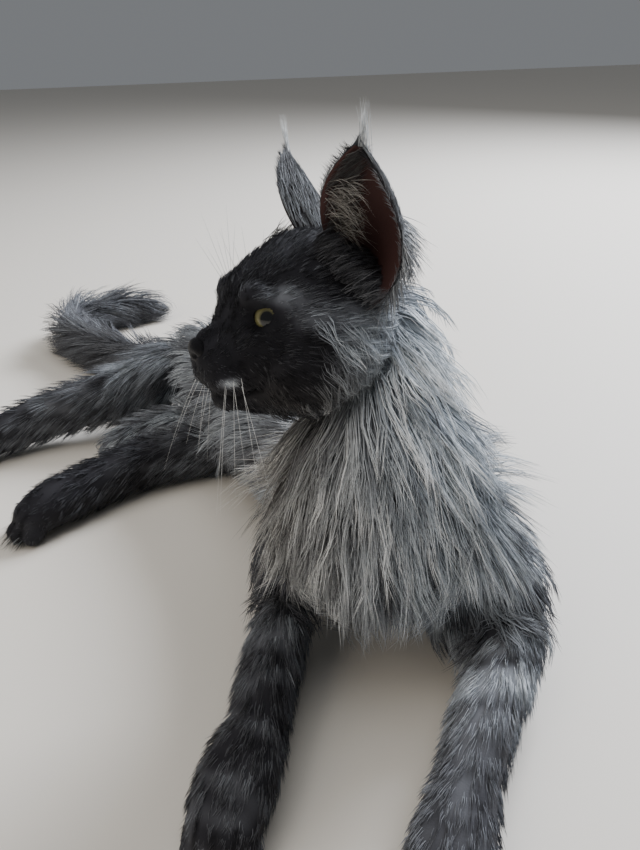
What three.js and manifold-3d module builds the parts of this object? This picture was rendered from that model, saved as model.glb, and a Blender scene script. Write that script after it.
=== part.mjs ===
// A long-haired cat at life size, lying on the floor as a still museum model.
// Millimetres, +Z up. The cat is set out in a studio frame: +X to the viewer's right,
// +Y away from the viewer, with the floor at Z = 0. At the end the whole group is moved
// so that the origin is the centre of its footprint on the floor.
import * as THREE from "three";
import { mergeVertices } from "three/addons/utils/BufferGeometryUtils.js";
import Module from "manifold-3d";

const wasm = await Module();
wasm.setup();

// Driving dimensions
const GAP = 0.3; // clear space kept between neighbouring parts
const CORE_SHARE = 0.5; // share of the coat's depth that the solid core leaves to the locks
const FLOOR_CLEAR = 1.2; // lowest point of loose locks above the floor
const SEED = 7;

// Stations of each form: centre x, y, z, half width, half height, depth of coat
const TORSO = [
  [38, 322, 88, 52, 54, 26],
  [38, 358, 98, 84, 80, 22],
  [28, 430, 96, 86, 86, 22],
  [-4, 510, 90, 86, 82, 24],
  [-52, 588, 84, 86, 78, 24],
  [-98, 660, 84, 82, 78, 24],
  [-145, 722, 76, 62, 64, 24],
  [-188, 768, 58, 30, 34, 18],
];
const NECK = [
  [42, 354, 58, 54, 48, 36],
  [40, 347, 108, 92, 70, 46],
  [40, 350, 165, 99, 76, 52],
  [38, 364, 214, 82, 70, 46],
  [34, 384, 252, 64, 62, 34],
  [14, 392, 286, 44, 46, 22],
];
const UPPER_ARM_LEFT = [
  [84, 378, 132, 40, 42, 16],
  [116, 346, 92, 46, 46, 18],
  [142, 320, 46, 36, 38, 16],
];
const LOWER_FORELEG_LEFT = [
  [142, 330, 42, 32, 36, 14],
  [122, 292, 42, 35, 37, 14],
  [98, 250, 38, 32, 34, 12],
  [80, 214, 32, 29, 30, 10],
  [66, 184, 28, 32, 28, 8],
  [54, 156, 23, 31, 23, 8],
  [46, 138, 16, 22, 15, 6],
];
const UPPER_ARM_RIGHT = [
  [0, 384, 126, 40, 42, 16],
  [-20, 366, 88, 42, 44, 18],
  [-32, 348, 46, 34, 38, 16],
];
const LOWER_FORELEG_RIGHT = [
  [-30, 356, 42, 32, 36, 14],
  [-38, 316, 41, 33, 35, 14],
  [-44, 284, 37, 31, 33, 12],
  [-49, 256, 31, 29, 30, 10],
  [-58, 230, 28, 33, 28, 8],
  [-66, 204, 23, 32, 23, 8],
  [-71, 186, 16, 22, 15, 6],
];
const THIGH_LEFT = [
  [-88, 700, 58, 50, 50, 22],
  [-92, 642, 52, 52, 50, 22],
  [-100, 592, 46, 44, 44, 20],
];
const LOWER_HINDLEG_LEFT = [
  [-84, 600, 44, 40, 42, 18],
  [-138, 588, 40, 38, 40, 18],
  [-186, 572, 36, 35, 36, 14],
  [-232, 542, 32, 32, 32, 12],
  [-270, 512, 28, 33, 28, 8],
  [-300, 488, 18, 24, 17, 6],
];
const THIGH_RIGHT = [
  [-120, 712, 92, 54, 50, 24],
  [-182, 696, 82, 52, 48, 24],
  [-240, 680, 62, 42, 42, 20],
];
const LOWER_HINDLEG_RIGHT = [
  [-210, 686, 70, 40, 42, 22],
  [-270, 674, 60, 38, 41, 20],
  [-332, 660, 44, 33, 36, 16],
  [-390, 632, 32, 28, 30, 12],
  [-438, 602, 27, 32, 27, 8],
  [-468, 584, 18, 23, 17, 6],
];
const TAIL = [
  [-168, 752, 62, 26, 26, 16],
  [-205, 780, 54, 34, 34, 22],
  [-258, 822, 46, 39, 39, 26],
  [-326, 878, 42, 41, 41, 28],
  [-382, 932, 41, 41, 40, 28],
  [-394, 990, 40, 40, 39, 28],
  [-350, 1032, 39, 38, 38, 26],
  [-298, 1048, 34, 30, 32, 22],
  [-262, 1052, 26, 14, 16, 12],
];
const WRIST = 0.5; // place of the cut between foreleg and paw along its stations
const HOCK = 0.42; // place of the cut between shank and hind foot
const TAIL_CUTS = [0.0, 0.27, 0.52, 0.77, 1.0];

// The head's own frame: x to the nose, y to its left, z to the crown
const HEAD_CENTRE = [-13.5, 372, 271];
const HEAD_YAW = 27; // degrees that the face turns to the viewer from a side view
const HEAD_PITCH = 7;
const HEAD_ROLL = 9;
// Rings of the head: x, top, bottom, half width, height of the widest place
const HEAD_RINGS = [
  [-58, 22, -22, 26, 0],
  [-48, 38, -38, 42, -4],
  [-30, 50, -50, 53, -10],
  [-10, 54, -58, 57, -16],
  [8, 49, -61, 53, -18],
  [22, 42, -61, 45, -20],
  [33, 35, -59, 34, -22],
  [41, 27, -56, 27, -24],
  [46, 14, -54, 24.5, -25],
  [50, 5, -51, 23.5, -26],
  [56, -1, -46, 22, -26],
  [61, -5, -40, 18, -24],
  [64.5, -10, -31, 11, -20],
];
const EYE_CENTRE = [24.5, 20, 5];
const EYE_RADIUS = 10.5;
const EYE_OUT = 24; // degrees that each eye looks out from straight ahead
const LID_RADIUS = 12.8;
const EYE_OPEN_WIDTH = 19;
const EYE_OPEN_HEIGHT = 14;
const NOSE_CENTRE = [63.5, 0, -15];
const NOSE_SIZE = [4.5, 8, 6.5];
const NOSTRIL_CENTRE = [67, 3.8, -16.5];
const NOSTRIL_SIZE = [2.6, 1.7, 1.5];
// The line of the lips seen from the side: x and z from the front to the mouth's corner
const MOUTH_LINE = [[68, -35], [60, -38], [52, -42], [43, -42], [34, -36]];
const MOUTH_WIDTH = 1.2;
const MOUTH_DEPTH = 3;
const PAD_CENTRE = [50, 10.5, -30];
const PAD_SIZE = [13, 13, 12.5];
const CHIN_CENTRE = [46, 0, -48];
const CHIN_SIZE = [10, 15, 9];
// Ear edges from base to tip: inner edge, back of the cup, outer edge
const EAR_INNER = [[-12, 18, 48], [-5, 29, 74], [-16, 44, 95]];
const EAR_BACK = [[-46, 22, 36], [-38, 38, 66], [-18, 44, 94]];
const EAR_OUTER = [[-28, 52, 14], [-35, 60, 48], [-16, 45, 95]];
const EAR_THICK = 3.2;

// Materials
const finish = (hex, roughness) =>
  new THREE.MeshStandardMaterial({ color: hex, roughness, metalness: 0 });
const SMOKE = finish(0x5d5e63, 0.85);
const SILVER = finish(0x9a9da3, 0.85);
const BLACK = finish(0x2a292c, 0.8);
const EYE_GREEN = finish(0xa3a04a, 0.1);
const LEATHER = finish(0x1b191a, 0.5);

const vec = (p) => new THREE.Vector3(p[0], p[1], p[2]);

// A closed three.js geometry as a solid, with its faces turned outwards
function solid(geometry, place = null) {
  const bare = geometry.clone();
  bare.deleteAttribute("normal");
  bare.deleteAttribute("uv");
  if (place) bare.applyMatrix4(place);
  const merged = mergeVertices(bare, 1e-4);
  const corner = (i) => new THREE.Vector3().fromBufferAttribute(merged.attributes.position, i);
  const faces = merged.index.array;
  let volume = 0;
  for (let i = 0; i < faces.length; i += 3) {
    volume += corner(faces[i]).dot(corner(faces[i + 1]).cross(corner(faces[i + 2])));
  }
  const ordered = volume > 0 ? Array.from(faces) : Array.from(faces).reverse();
  return new wasm.Manifold(new wasm.Mesh({
    numProp: 3,
    vertProperties: new Float32Array(merged.attributes.position.array),
    triVerts: new Uint32Array(ordered),
  }));
}

// Every vertex of a geometry moved by a function of its place
function shaped(geometry, move) {
  const at = geometry.attributes.position;
  const p = new THREE.Vector3();
  for (let i = 0; i < at.count; i += 1) {
    const q = move(p.fromBufferAttribute(at, i));
    at.setXYZ(i, q.x, q.y, q.z);
  }
  return geometry;
}

// A value from a column of stations at t from 0 to 1, on a smooth curve
function column(stations, k, t) {
  const n = stations.length - 1;
  const i = Math.min(Math.floor(t * n), n - 1);
  const s = t * n - i;
  const v = (j) => stations[Math.max(0, Math.min(n, j))][k];
  const [a, b, c, d] = [v(i - 1), v(i), v(i + 1), v(i + 2)];
  const bend = 2 * b + (c - a) * s + (2 * a - 5 * b + 4 * c - d) * s * s;
  return 0.5 * (bend + (3 * b - a - 3 * c + d) * s * s * s);
}

// The place, axes and half sizes of a form at t
function ringAt(form, t) {
  const here = Math.max(0, Math.min(1, t));
  const point = (u) => new THREE.Vector3(
    column(form.stations, 0, u),
    column(form.stations, 1, u),
    column(form.stations, 2, u),
  );
  const centre = point(here);
  const ahead = point(Math.min(1, here + 0.02));
  const tangent = ahead.sub(point(Math.max(0, here - 0.02))).normalize();
  const side = new THREE.Vector3().crossVectors(tangent, form.up).normalize();
  const rise = new THREE.Vector3().crossVectors(side, tangent).normalize();
  const coat = column(form.stations, 5, here) * CORE_SHARE;
  const wide = column(form.stations, 3, here) - coat;
  const high = column(form.stations, 4, here) - coat;
  // Underneath, the coat is pressed flat, so the core reaches to its outside
  const low = form.up === UP ? column(form.stations, 4, here) : high;
  return { centre, tangent, side, rise, wide, high, low };
}

// How far a round end draws a form in
function endSize(share, cap, roundFrom, roundTo) {
  const near = roundFrom ? share : 1;
  const far = roundTo ? 1 - share : 1;
  const depth = Math.min(1, near / cap, far / cap);
  return Math.sqrt(Math.max(0.04, 1 - (1 - depth) ** 2));
}

// A form drawn out along its stations, with round ends or flat ones
function lofted(form, grow, from = 0, to = 1, roundFrom = true, roundTo = true) {
  const rings = Math.max(3, Math.round(form.rings * (to - from)));
  const sides = form.sides;
  const tube = new THREE.CylinderGeometry(1, 1, 1, sides, rings, false);
  return solid(shaped(tube, (p) => {
    const share = p.y + 0.5;
    const size = endSize(share, form.cap, roundFrom, roundTo);
    const ring = ringAt(form, from + (to - from) * share);
    const out = ring.centre.clone();
    const wide = (ring.wide * size + grow) * p.x;
    const high = ((p.z < 0 ? ring.low : ring.high) * size + grow) * p.z;
    out.addScaledVector(ring.side, wide).addScaledVector(ring.rise, high);
    if (share === 0) out.addScaledVector(ring.tangent, -grow);
    if (share === 1) out.addScaledVector(ring.tangent, grow);
    return out;
  }));
}

// An ellipsoid with the given centre and half sizes
function ellipsoid(centre, size, grow = 0, detail = 14, place = null) {
  const ball = new THREE.SphereGeometry(1, detail, Math.round(detail * 0.7));
  return solid(shaped(ball, (p) => new THREE.Vector3(
    centre[0] + p.x * (size[0] + grow),
    centre[1] + p.y * (size[1] + grow),
    centre[2] + p.z * (size[2] + grow),
  )), place);
}

const joined = (pieces) => pieces.reduce((whole, piece) => whole.add(piece));

const UP = new THREE.Vector3(0, 0, 1);
const FRONT = new THREE.Vector3(0, -1, 0);
const makeForm = (stations, rings, sides, up = UP, cap = 0.22) =>
  ({ stations, rings, sides, up, cap });

const FORMS = {
  neck: makeForm(NECK, 8, 16, FRONT),
  torso: makeForm(TORSO, 15, 16),
  upper_arm_left: makeForm(UPPER_ARM_LEFT, 6, 10, UP, 0.3),
  lower_foreleg_left: makeForm(LOWER_FORELEG_LEFT, 13, 10, UP, 0.08),
  upper_arm_right: makeForm(UPPER_ARM_RIGHT, 6, 10, UP, 0.3),
  lower_foreleg_right: makeForm(LOWER_FORELEG_RIGHT, 13, 10, UP, 0.08),
  thigh_left: makeForm(THIGH_LEFT, 6, 10, UP, 0.3),
  lower_hindleg_left: makeForm(LOWER_HINDLEG_LEFT, 13, 10, UP, 0.08),
  thigh_right: makeForm(THIGH_RIGHT, 6, 10, UP, 0.3),
  lower_hindleg_right: makeForm(LOWER_HINDLEG_RIGHT, 13, 10, UP, 0.08),
  tail: makeForm(TAIL, 24, 10, UP, 0.1),
};

// The head's frame in the studio
function headMatrix() {
  const [yaw, pitch, roll] = [HEAD_YAW, HEAD_PITCH, HEAD_ROLL].map(THREE.MathUtils.degToRad);
  const level = new THREE.Vector3(-Math.cos(yaw), -Math.sin(yaw), 0);
  const left = new THREE.Vector3().crossVectors(UP, level);
  const fore = level.clone().multiplyScalar(Math.cos(pitch)).addScaledVector(UP, Math.sin(pitch));
  const crown = UP.clone().multiplyScalar(Math.cos(pitch)).addScaledVector(level, -Math.sin(pitch));
  const side = left.clone().multiplyScalar(Math.cos(roll)).addScaledVector(crown, Math.sin(roll));
  const top = crown.clone().multiplyScalar(Math.cos(roll)).addScaledVector(left, -Math.sin(roll));
  const matrix = new THREE.Matrix4().makeBasis(fore, side, top);
  return matrix.setPosition(vec(HEAD_CENTRE));
}
const HEAD_PLACE = headMatrix();

// The head's skull and muzzle from its rings
function headShell(grow) {
  const tube = new THREE.CylinderGeometry(1, 1, 1, 20, 18, false);
  return solid(shaped(tube, (p) => {
    const t = p.y + 0.5;
    const value = (k) => column(HEAD_RINGS, k, t);
    const x = value(0) + (t === 0 ? -grow : t === 1 ? grow : 0);
    const half = p.z > 0 ? value(1) - value(4) : value(4) - value(2);
    return new THREE.Vector3(x, (value(3) + grow) * p.x, value(4) + (half + grow) * p.z);
  }), HEAD_PLACE);
}

function muzzle(grow) {
  const pads = [-1, 1].map((s) => ellipsoid(
    [PAD_CENTRE[0], s * PAD_CENTRE[1], PAD_CENTRE[2]], PAD_SIZE, grow, 10, HEAD_PLACE,
  ));
  return [...pads, ellipsoid(CHIN_CENTRE, CHIN_SIZE, grow, 10, HEAD_PLACE)];
}

const nose = (grow) => ellipsoid(NOSE_CENTRE, NOSE_SIZE, grow, 10, HEAD_PLACE);

// The outline of an open eye, pointed at both corners
function eyeOpening(side) {
  const shape = new THREE.Shape();
  const w = EYE_OPEN_WIDTH / 2;
  const h = EYE_OPEN_HEIGHT / 2;
  shape.moveTo(-w, -1.5);
  shape.quadraticCurveTo(-w * 0.35, h * 1.9, w, 1.5);
  shape.quadraticCurveTo(w * 0.2, -h * 1.8, -w, -1.5);
  const slab = new THREE.ExtrudeGeometry(shape, { depth: 16, bevelEnabled: false, curveSegments: 8 });
  const out = THREE.MathUtils.degToRad(EYE_OUT) * side;
  const gaze = new THREE.Vector3(Math.cos(out), Math.sin(out), 0.06).normalize();
  const across = new THREE.Vector3().crossVectors(UP, gaze).normalize().multiplyScalar(side);
  const rise = new THREE.Vector3(0, 0, 1).addScaledVector(gaze, -gaze.z).normalize();
  const turn = new THREE.Matrix4().makeBasis(across, rise, gaze);
  const centre = new THREE.Vector3(EYE_CENTRE[0], EYE_CENTRE[1] * side, EYE_CENTRE[2]);
  slab.applyMatrix4(turn.setPosition(centre));
  return solid(slab, HEAD_PLACE);
}

const eyeball = (side, radius) => ellipsoid(
  [EYE_CENTRE[0], EYE_CENTRE[1] * side, EYE_CENTRE[2]], [radius, radius, radius], 0, 12, HEAD_PLACE,
);

// An ear: a leaf curled into a cup, thick at its root and thin at its rim
function ear(side, grow) {
  const leaf = new THREE.BoxGeometry(2, 1, 1, 6, 7, 1);
  const along = (points, t) => new THREE.QuadraticBezierCurve3(
    vec(points[0]),
    vec(points[1]).multiplyScalar(2)
      .addScaledVector(vec(points[0]), -0.5).addScaledVector(vec(points[2]), -0.5),
    vec(points[2]),
  ).getPoint(t);
  const sheet = (s, t) => along(EAR_INNER, t).multiplyScalar((s * s - s) / 2)
    .addScaledVector(along(EAR_BACK, t), 1 - s * s)
    .addScaledVector(along(EAR_OUTER, t), (s * s + s) / 2);
  return solid(shaped(leaf, (p) => {
    const t = Math.min(0.985, p.y + 0.5);
    const s = p.x;
    const du = sheet(s + 0.05, t).sub(sheet(s - 0.05, t));
    const dv = sheet(s, Math.min(1, t + 0.03)).sub(sheet(s, t - 0.03));
    const normal = new THREE.Vector3().crossVectors(du, dv).normalize();
    const thick = EAR_THICK * (1 - 0.45 * t) * (1 - 0.4 * s * s) + 2 * grow;
    const place = sheet(s * (1 + grow / 20), t).addScaledVector(normal, p.z * thick);
    return new THREE.Vector3(place.x, place.y * side, place.z);
  }), HEAD_PLACE);
}

// Rings of every form, for finding how far a point lies outside the body's core
const SURFACE_RINGS = 24;
function surfaceOf(form) {
  return Array.from({ length: SURFACE_RINGS + 1 }, (_, i) => {
    const share = i / SURFACE_RINGS;
    const ring = ringAt(form, share);
    const size = endSize(share, form.cap, true, true);
    const step = ringAt(form, share + 0.05).centre.distanceTo(ringAt(form, share - 0.05).centre);
    const thick = Math.max(8, (step * 30) / SURFACE_RINGS);
    return { ...ring, wide: ring.wide * size, high: ring.high * size, low: ring.low * size, thick };
  });
}
function headSurface() {
  const axes = [0, 1, 2].map((k) => new THREE.Vector3().setFromMatrixColumn(HEAD_PLACE, k));
  return HEAD_RINGS.map(([x, top, bottom, wide]) => ({
    centre: new THREE.Vector3(x, 0, (top + bottom) / 2).applyMatrix4(HEAD_PLACE),
    tangent: axes[0],
    side: axes[1],
    rise: axes[2],
    wide,
    high: (top - bottom) / 2,
    low: (top - bottom) / 2,
    thick: 14,
  }));
}
const SURFACES = [...Object.values(FORMS).map(surfaceOf), headSurface()];

function outside(p) {
  let least = Infinity;
  const d = new THREE.Vector3();
  for (const ring of SURFACES.flat()) {
    d.subVectors(p, ring.centre);
    const x = d.dot(ring.side) / ring.wide;
    const rise = d.dot(ring.rise);
    const y = rise / (rise < 0 ? ring.low : ring.high);
    const z = d.dot(ring.tangent) / ring.thick;
    const share = Math.hypot(x, y, z);
    least = Math.min(least, d.length() * (1 - 1 / Math.max(share, 0.05)));
  }
  return least;
}

// The way out of the body's core at a point
function outward(p) {
  const step = 2;
  const slope = [0, 1, 2].map((k) => {
    const ahead = p.clone().setComponent(k, p.getComponent(k) + step);
    const behind = p.clone().setComponent(k, p.getComponent(k) - step);
    return outside(ahead) - outside(behind);
  });
  return vec(slope).normalize();
}

// Repeatable random numbers from 0 to 1
let state = SEED;
function random() {
  state = (state * 1664525 + 1013904223) % 4294967296;
  return state / 4294967296;
}
const between = (low, high) => low + (high - low) * random();

// A lock's course: rooted in the core, out over it, and along the lie of the coat
const LOCK_STEPS = 3;
const LOCK_WIDTHS = [0.85, 1, 0.8];
const LOCK_THICKNESS = [1, 1, 0.75];
function course(root, flow, length, lift, sink) {
  const heights = [-sink, lift * 0.5, lift * 0.85, lift];
  const points = [];
  let p = root.clone();
  const wave = between(-1, 1);
  for (let i = 0; i <= LOCK_STEPS; i += 1) {
    const normal = outward(p);
    p.addScaledVector(normal, heights[i] - outside(p));
    p.z = Math.max(p.z, FLOOR_CLEAR + 2.5);
    points.push({ at: p.clone(), normal });
    const way = flow(p).clone();
    way.addScaledVector(normal, -way.dot(normal)).normalize();
    const across = new THREE.Vector3().crossVectors(way, normal);
    way.addScaledVector(across, wave * (i % 2 === 0 ? 0.3 : -0.2)).normalize();
    p = p.clone().addScaledVector(way, length / LOCK_STEPS);
  }
  return points;
}

// A flat lock that tapers to its tip along a course
function lock(points, width, thick, grow) {
  const blade = new THREE.ConeGeometry(1, 1, 4, LOCK_STEPS, false);
  return solid(shaped(blade, (p) => {
    const i = Math.round((p.y + 0.5) * LOCK_STEPS);
    const here = points[i];
    const last = points[Math.max(0, i - 1)].at;
    const next = points[Math.min(LOCK_STEPS, i + 1)].at;
    const way = next.clone().sub(last).normalize();
    const across = new THREE.Vector3().crossVectors(way, here.normal).normalize();
    const out = new THREE.Vector3().crossVectors(across, way);
    const place = here.at.clone();
    if (i === LOCK_STEPS) return place.addScaledVector(way, grow);
    if (i === 0) place.addScaledVector(way, -grow);
    const reach = Math.hypot(p.x, p.z);
    if (reach < 1e-6) return place;
    place.addScaledVector(across, (p.x / reach) * (width * LOCK_WIDTHS[i] + grow));
    return place.addScaledVector(out, (p.z / reach) * (thick * LOCK_THICKNESS[i] + grow));
  }));
}

// Locks rooted in tiers round a stretch of a form
function tiers(form, lay) {
  const plans = [];
  for (let tier = 0; tier < lay.tiers; tier += 1) {
    const t = lay.from + ((lay.to - lay.from) * (tier + 0.5)) / lay.tiers;
    for (let i = 0; i < lay.round; i += 1) {
      const turn = (i + (tier % 2) * 0.5 + between(-0.15, 0.15)) / lay.round;
      const angle = lay.start + (lay.end - lay.start) * turn;
      const ring = ringAt(form, t + between(-0.2, 0.2) * ((lay.to - lay.from) / lay.tiers));
      const root = ring.centre.clone()
        .addScaledVector(ring.side, ring.wide * Math.cos(angle))
        .addScaledVector(ring.rise, (Math.sin(angle) < 0 ? ring.low : ring.high) * Math.sin(angle));
      const length = lay.length * between(0.85, 1.15);
      const width = lay.width * between(0.85, 1.15);
      const flow = (p) => lay.flow(p, ring);
      const clear = outside(root) > -2 && root.z > 8;
      if (clear) {
        plans.push([course(root, flow, length, lay.lift * between(0.8, 1), lay.sink), width, lay.thick]);
      }
    }
  }
  return plans;
}

const TURN = Math.PI * 2;
const lie = (x, y, z) => new THREE.Vector3(x, y, z);
const coat = (settings) => ({
  start: 0, end: TURN, sink: 6, thick: 3, ...settings,
});
// Where each node's locks grow and which way they lie
const COATS = {
  neck: [["neck", coat({
    from: 0.3, to: 0.92, tiers: 4, round: 10, length: 82, width: 16, lift: 24, sink: 8,
    flow: (p, ring) => p.clone().sub(ring.centre).setZ(0).normalize().multiplyScalar(0.35)
      .add(lie(0, 0.15, -1)),
  })]],
  torso_front: [["torso", coat({
    from: 0.16, to: 0.34, tiers: 1, round: 9, length: 64, width: 14, lift: 11,
    flow: (p, ring) => ring.tangent.clone().add(lie(0, 0, -0.9)),
  })]],
  torso_middle: [["torso", coat({
    from: 0.38, to: 0.62, tiers: 2, round: 6, length: 70, width: 17, lift: 12,
    flow: (p, ring) => ring.tangent.clone().add(lie(0, 0, -0.8)),
  })]],
  torso_rear: [["torso", coat({
    from: 0.68, to: 0.92, tiers: 2, round: 6, length: 62, width: 16, lift: 12,
    flow: (p, ring) => ring.tangent.clone().add(lie(0, 0, -0.6)),
  })]],
  foreleg_left_upper: [["upper_arm_left", coat({
    from: 0.3, to: 0.7, tiers: 1, round: 6, length: 44, width: 10, lift: 8,
    flow: (p, ring) => ring.tangent.clone().add(lie(0, 0.3, -0.5)),
  })]],
  foreleg_right_upper: [["upper_arm_right", coat({
    from: 0.3, to: 0.7, tiers: 1, round: 6, length: 44, width: 10, lift: 8,
    flow: (p, ring) => ring.tangent.clone().add(lie(0, 0.3, -0.5)),
  })]],
  foreleg_left_lower: [["lower_foreleg_left", coat({
    from: 0.08, to: 0.34, tiers: 1, round: 6, length: 40, width: 8, lift: 6, thick: 2.4,
    flow: (p, ring) => ring.tangent.clone().add(lie(0, 0, -0.4)),
  })]],
  foreleg_right_lower: [["lower_foreleg_right", coat({
    from: 0.08, to: 0.34, tiers: 1, round: 6, length: 40, width: 8, lift: 6, thick: 2.4,
    flow: (p, ring) => ring.tangent.clone().add(lie(0, 0, -0.4)),
  })]],
  hindleg_left_thigh: [["thigh_left", coat({
    from: 0.4, to: 0.9, tiers: 1, round: 7, length: 46, width: 11, lift: 10,
    flow: () => lie(-0.7, -0.2, -0.5),
  })]],
  hindleg_right_thigh: [["thigh_right", coat({
    from: 0.3, to: 0.9, tiers: 2, round: 5, length: 52, width: 13, lift: 11,
    flow: (p, ring) => ring.tangent.clone().add(lie(0, 0, -0.6)),
  })]],
  hindleg_left_shank: [["lower_hindleg_left", coat({
    from: 0.08, to: 0.3, tiers: 1, round: 6, length: 40, width: 9, lift: 8, thick: 2.4,
    flow: (p, ring) => ring.tangent.clone().add(lie(0, 0, -0.5)),
  })]],
  hindleg_right_shank: [["lower_hindleg_right", coat({
    from: 0.12, to: 0.3, tiers: 1, round: 7, length: 42, width: 10, lift: 9, thick: 2.4,
    flow: (p, ring) => ring.tangent.clone().add(lie(0, 0, -0.5)),
  })]],
};
const TAIL_LOCKS = coat({
  tiers: 2, round: 4, length: 58, width: 14, lift: 13, sink: 5, thick: 2.6,
});

// Locks of a node, drawn once and kept, so that its grown copy matches
const kept = {};
function locksOf(name) {
  if (!kept[name]) {
    kept[name] = (COATS[name] ?? []).flatMap(([form, lay]) => tiers(FORMS[form], lay));
  }
  return kept[name];
}
const dressed = (name, make) => (grow) => joined([
  make(grow),
  ...locksOf(name).map(([points, width, thick]) => lock(points, width, thick, grow)),
]);

// Ear tufts, cheek ruffs and toe tufts, each lock given by its course
function freeLock(at, way, length, bend, width, thick) {
  const points = Array.from({ length: LOCK_STEPS + 1 }, (_, i) => {
    const s = i / LOCK_STEPS;
    const place = at.clone().addScaledVector(way, length * s).addScaledVector(bend, s * s);
    const normal = new THREE.Vector3().crossVectors(way, bend).normalize();
    place.z = Math.max(place.z, FLOOR_CLEAR + thick);
    return { at: place, normal: normal.lengthSq() > 0.5 ? normal : lie(0, 0, 1) };
  });
  return [points, width, thick];
}
const headPoint = (x, y, z) => lie(x, y, z).applyMatrix4(HEAD_PLACE);
const headWay = (x, y, z) => lie(x, y, z).transformDirection(HEAD_PLACE);

function earLocks(side) {
  const plans = [];
  const tuft = 3;
  for (let i = 0; i < tuft; i += 1) {
    const spread = i - (tuft - 1) / 2;
    plans.push(freeLock(
      headPoint(-17 + spread * 1.5, side * (43.5 + spread * 1.5), 86),
      headWay(-0.12 + spread * 0.1, side * (0.28 + spread * 0.08), 1),
      36 - Math.abs(spread) * 7,
      headWay(0, side * -1, 0.1).multiplyScalar(5),
      2.6,
      1.2,
    ));
  }
  for (let i = 0; i < 4; i += 1) {
    const t = i / 4;
    plans.push(freeLock(
      headPoint(-10 + t * 4 - 3 * t * t * 2, side * (21 + 16 * t), 50 + 30 * t),
      headWay(-0.25 + 0.3 * t, side * 0.75, 0.5),
      28 - 10 * t,
      headWay(-0.4, side * 0.3, -1).multiplyScalar(6),
      3.2,
      1,
    ));
  }
  return plans;
}
kept.ear_left = earLocks(1);
kept.ear_right = earLocks(-1);

function cheekLocks() {
  const plans = [];
  for (const side of [-1, 1]) {
    for (let i = 0; i < 4; i += 1) {
      const t = i / 3;
      const root = headPoint(-14 + 22 * t + between(-3, 3), side * (50 - 14 * t * t), -6 - 44 * t);
      plans.push([
        course(root, () => headWay(-1, side * 0.15, -0.75), between(38, 46), 7, 5), 9, 2.4,
      ]);
    }
  }
  return plans;
}
kept.head = cheekLocks();

// Four toes and the tufts between them at the end of a lower leg
const TOES = 4;
function toes(form, grow) {
  const ring = ringAt(form, 0.97);
  return Array.from({ length: TOES }, (_, i) => {
    const across = (i - (TOES - 1) / 2) / ((TOES - 1) / 2);
    const centre = ring.centre.clone()
      .addScaledVector(ring.side, across * ring.wide * 0.86)
      .addScaledVector(ring.tangent, 5 - 7 * across * across)
      .setZ(13);
    const toe = new THREE.SphereGeometry(1, 7, 4);
    return solid(shaped(toe, (p) => centre.clone()
      .addScaledVector(ring.side, p.x * (8.6 + grow))
      .addScaledVector(ring.tangent, p.y * (13 + grow))
      .addScaledVector(UP, p.z * (12.5 + grow))));
  });
}
function toeTufts(form) {
  const ring = ringAt(form, 0.97);
  return Array.from({ length: TOES - 1 }, (_, i) => {
    const across = (i - 1) / 1.5;
    const root = ring.centre.clone()
      .addScaledVector(ring.side, across * ring.wide * 0.8)
      .setZ(11);
    const way = ring.tangent.clone().setZ(0.05).addScaledVector(ring.side, across * 0.35).normalize();
    return freeLock(root, way, 27 - 3 * Math.abs(across), lie(0, 0, -3), 3.2, 1.8);
  });
}

// Nodes: each is a function of how far it is grown, so that a neighbour can be cut clear
const whole = (name) => (grow) => lofted(FORMS[name], grow);
const stretch = (name, from, to) => (grow) =>
  lofted(FORMS[name], grow, from, to, from === 0, to === 1);
function footed(node, formName, cut) {
  kept[node] = toeTufts(FORMS[formName]);
  return dressed(node, (grow) => joined([
    stretch(formName, cut, 1)(grow),
    ...toes(FORMS[formName], grow),
  ]));
}
const coated = (node, make) => dressed(node, make);

const headBulk = (grow) => joined([
  headShell(grow),
  ...muzzle(grow),
  eyeball(1, LID_RADIUS + grow),
  eyeball(-1, LID_RADIUS + grow),
]);

// The slit between the lips and the furrow under the nose, cut only skin deep
function mouthCut() {
  const band = new THREE.Shape();
  const line = new THREE.SplineCurve(MOUTH_LINE.map(([x, z]) => new THREE.Vector2(x, z))).getPoints(6);
  line.forEach((p, i) => band[i ? "lineTo" : "moveTo"](p.x, p.y + MOUTH_WIDTH / 2));
  line.reverse().forEach((p) => band.lineTo(p.x, p.y - MOUTH_WIDTH / 2));
  const slab = new THREE.ExtrudeGeometry(band, { depth: 60, bevelEnabled: false });
  slab.rotateX(Math.PI / 2).translate(0, 30, 0);
  const furrow = new THREE.BoxGeometry(12, 1, 16).translate(62, 0, -29);
  const inner = joined([headShell(-MOUTH_DEPTH), ...muzzle(-MOUTH_DEPTH)]);
  return solid(slab, HEAD_PLACE).add(solid(furrow, HEAD_PLACE)).subtract(inner);
}

function headDetailed() {
  let body = coated("head", headBulk)(0);
  for (const side of [-1, 1]) {
    body = body.subtract(eyeball(side, EYE_RADIUS + GAP));
    body = body.subtract(eyeOpening(side));
  }
  return body.subtract(mouthCut()).subtract(nose(GAP));
}

function noseDetailed(grow) {
  if (grow > 0) return nose(grow);
  const nostrils = [-1, 1].map((side) => ellipsoid(
    [NOSTRIL_CENTRE[0], side * NOSTRIL_CENTRE[1], NOSTRIL_CENTRE[2]], NOSTRIL_SIZE, 0, 8, HEAD_PLACE,
  ));
  return nose(0).subtract(joined(nostrils));
}

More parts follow.
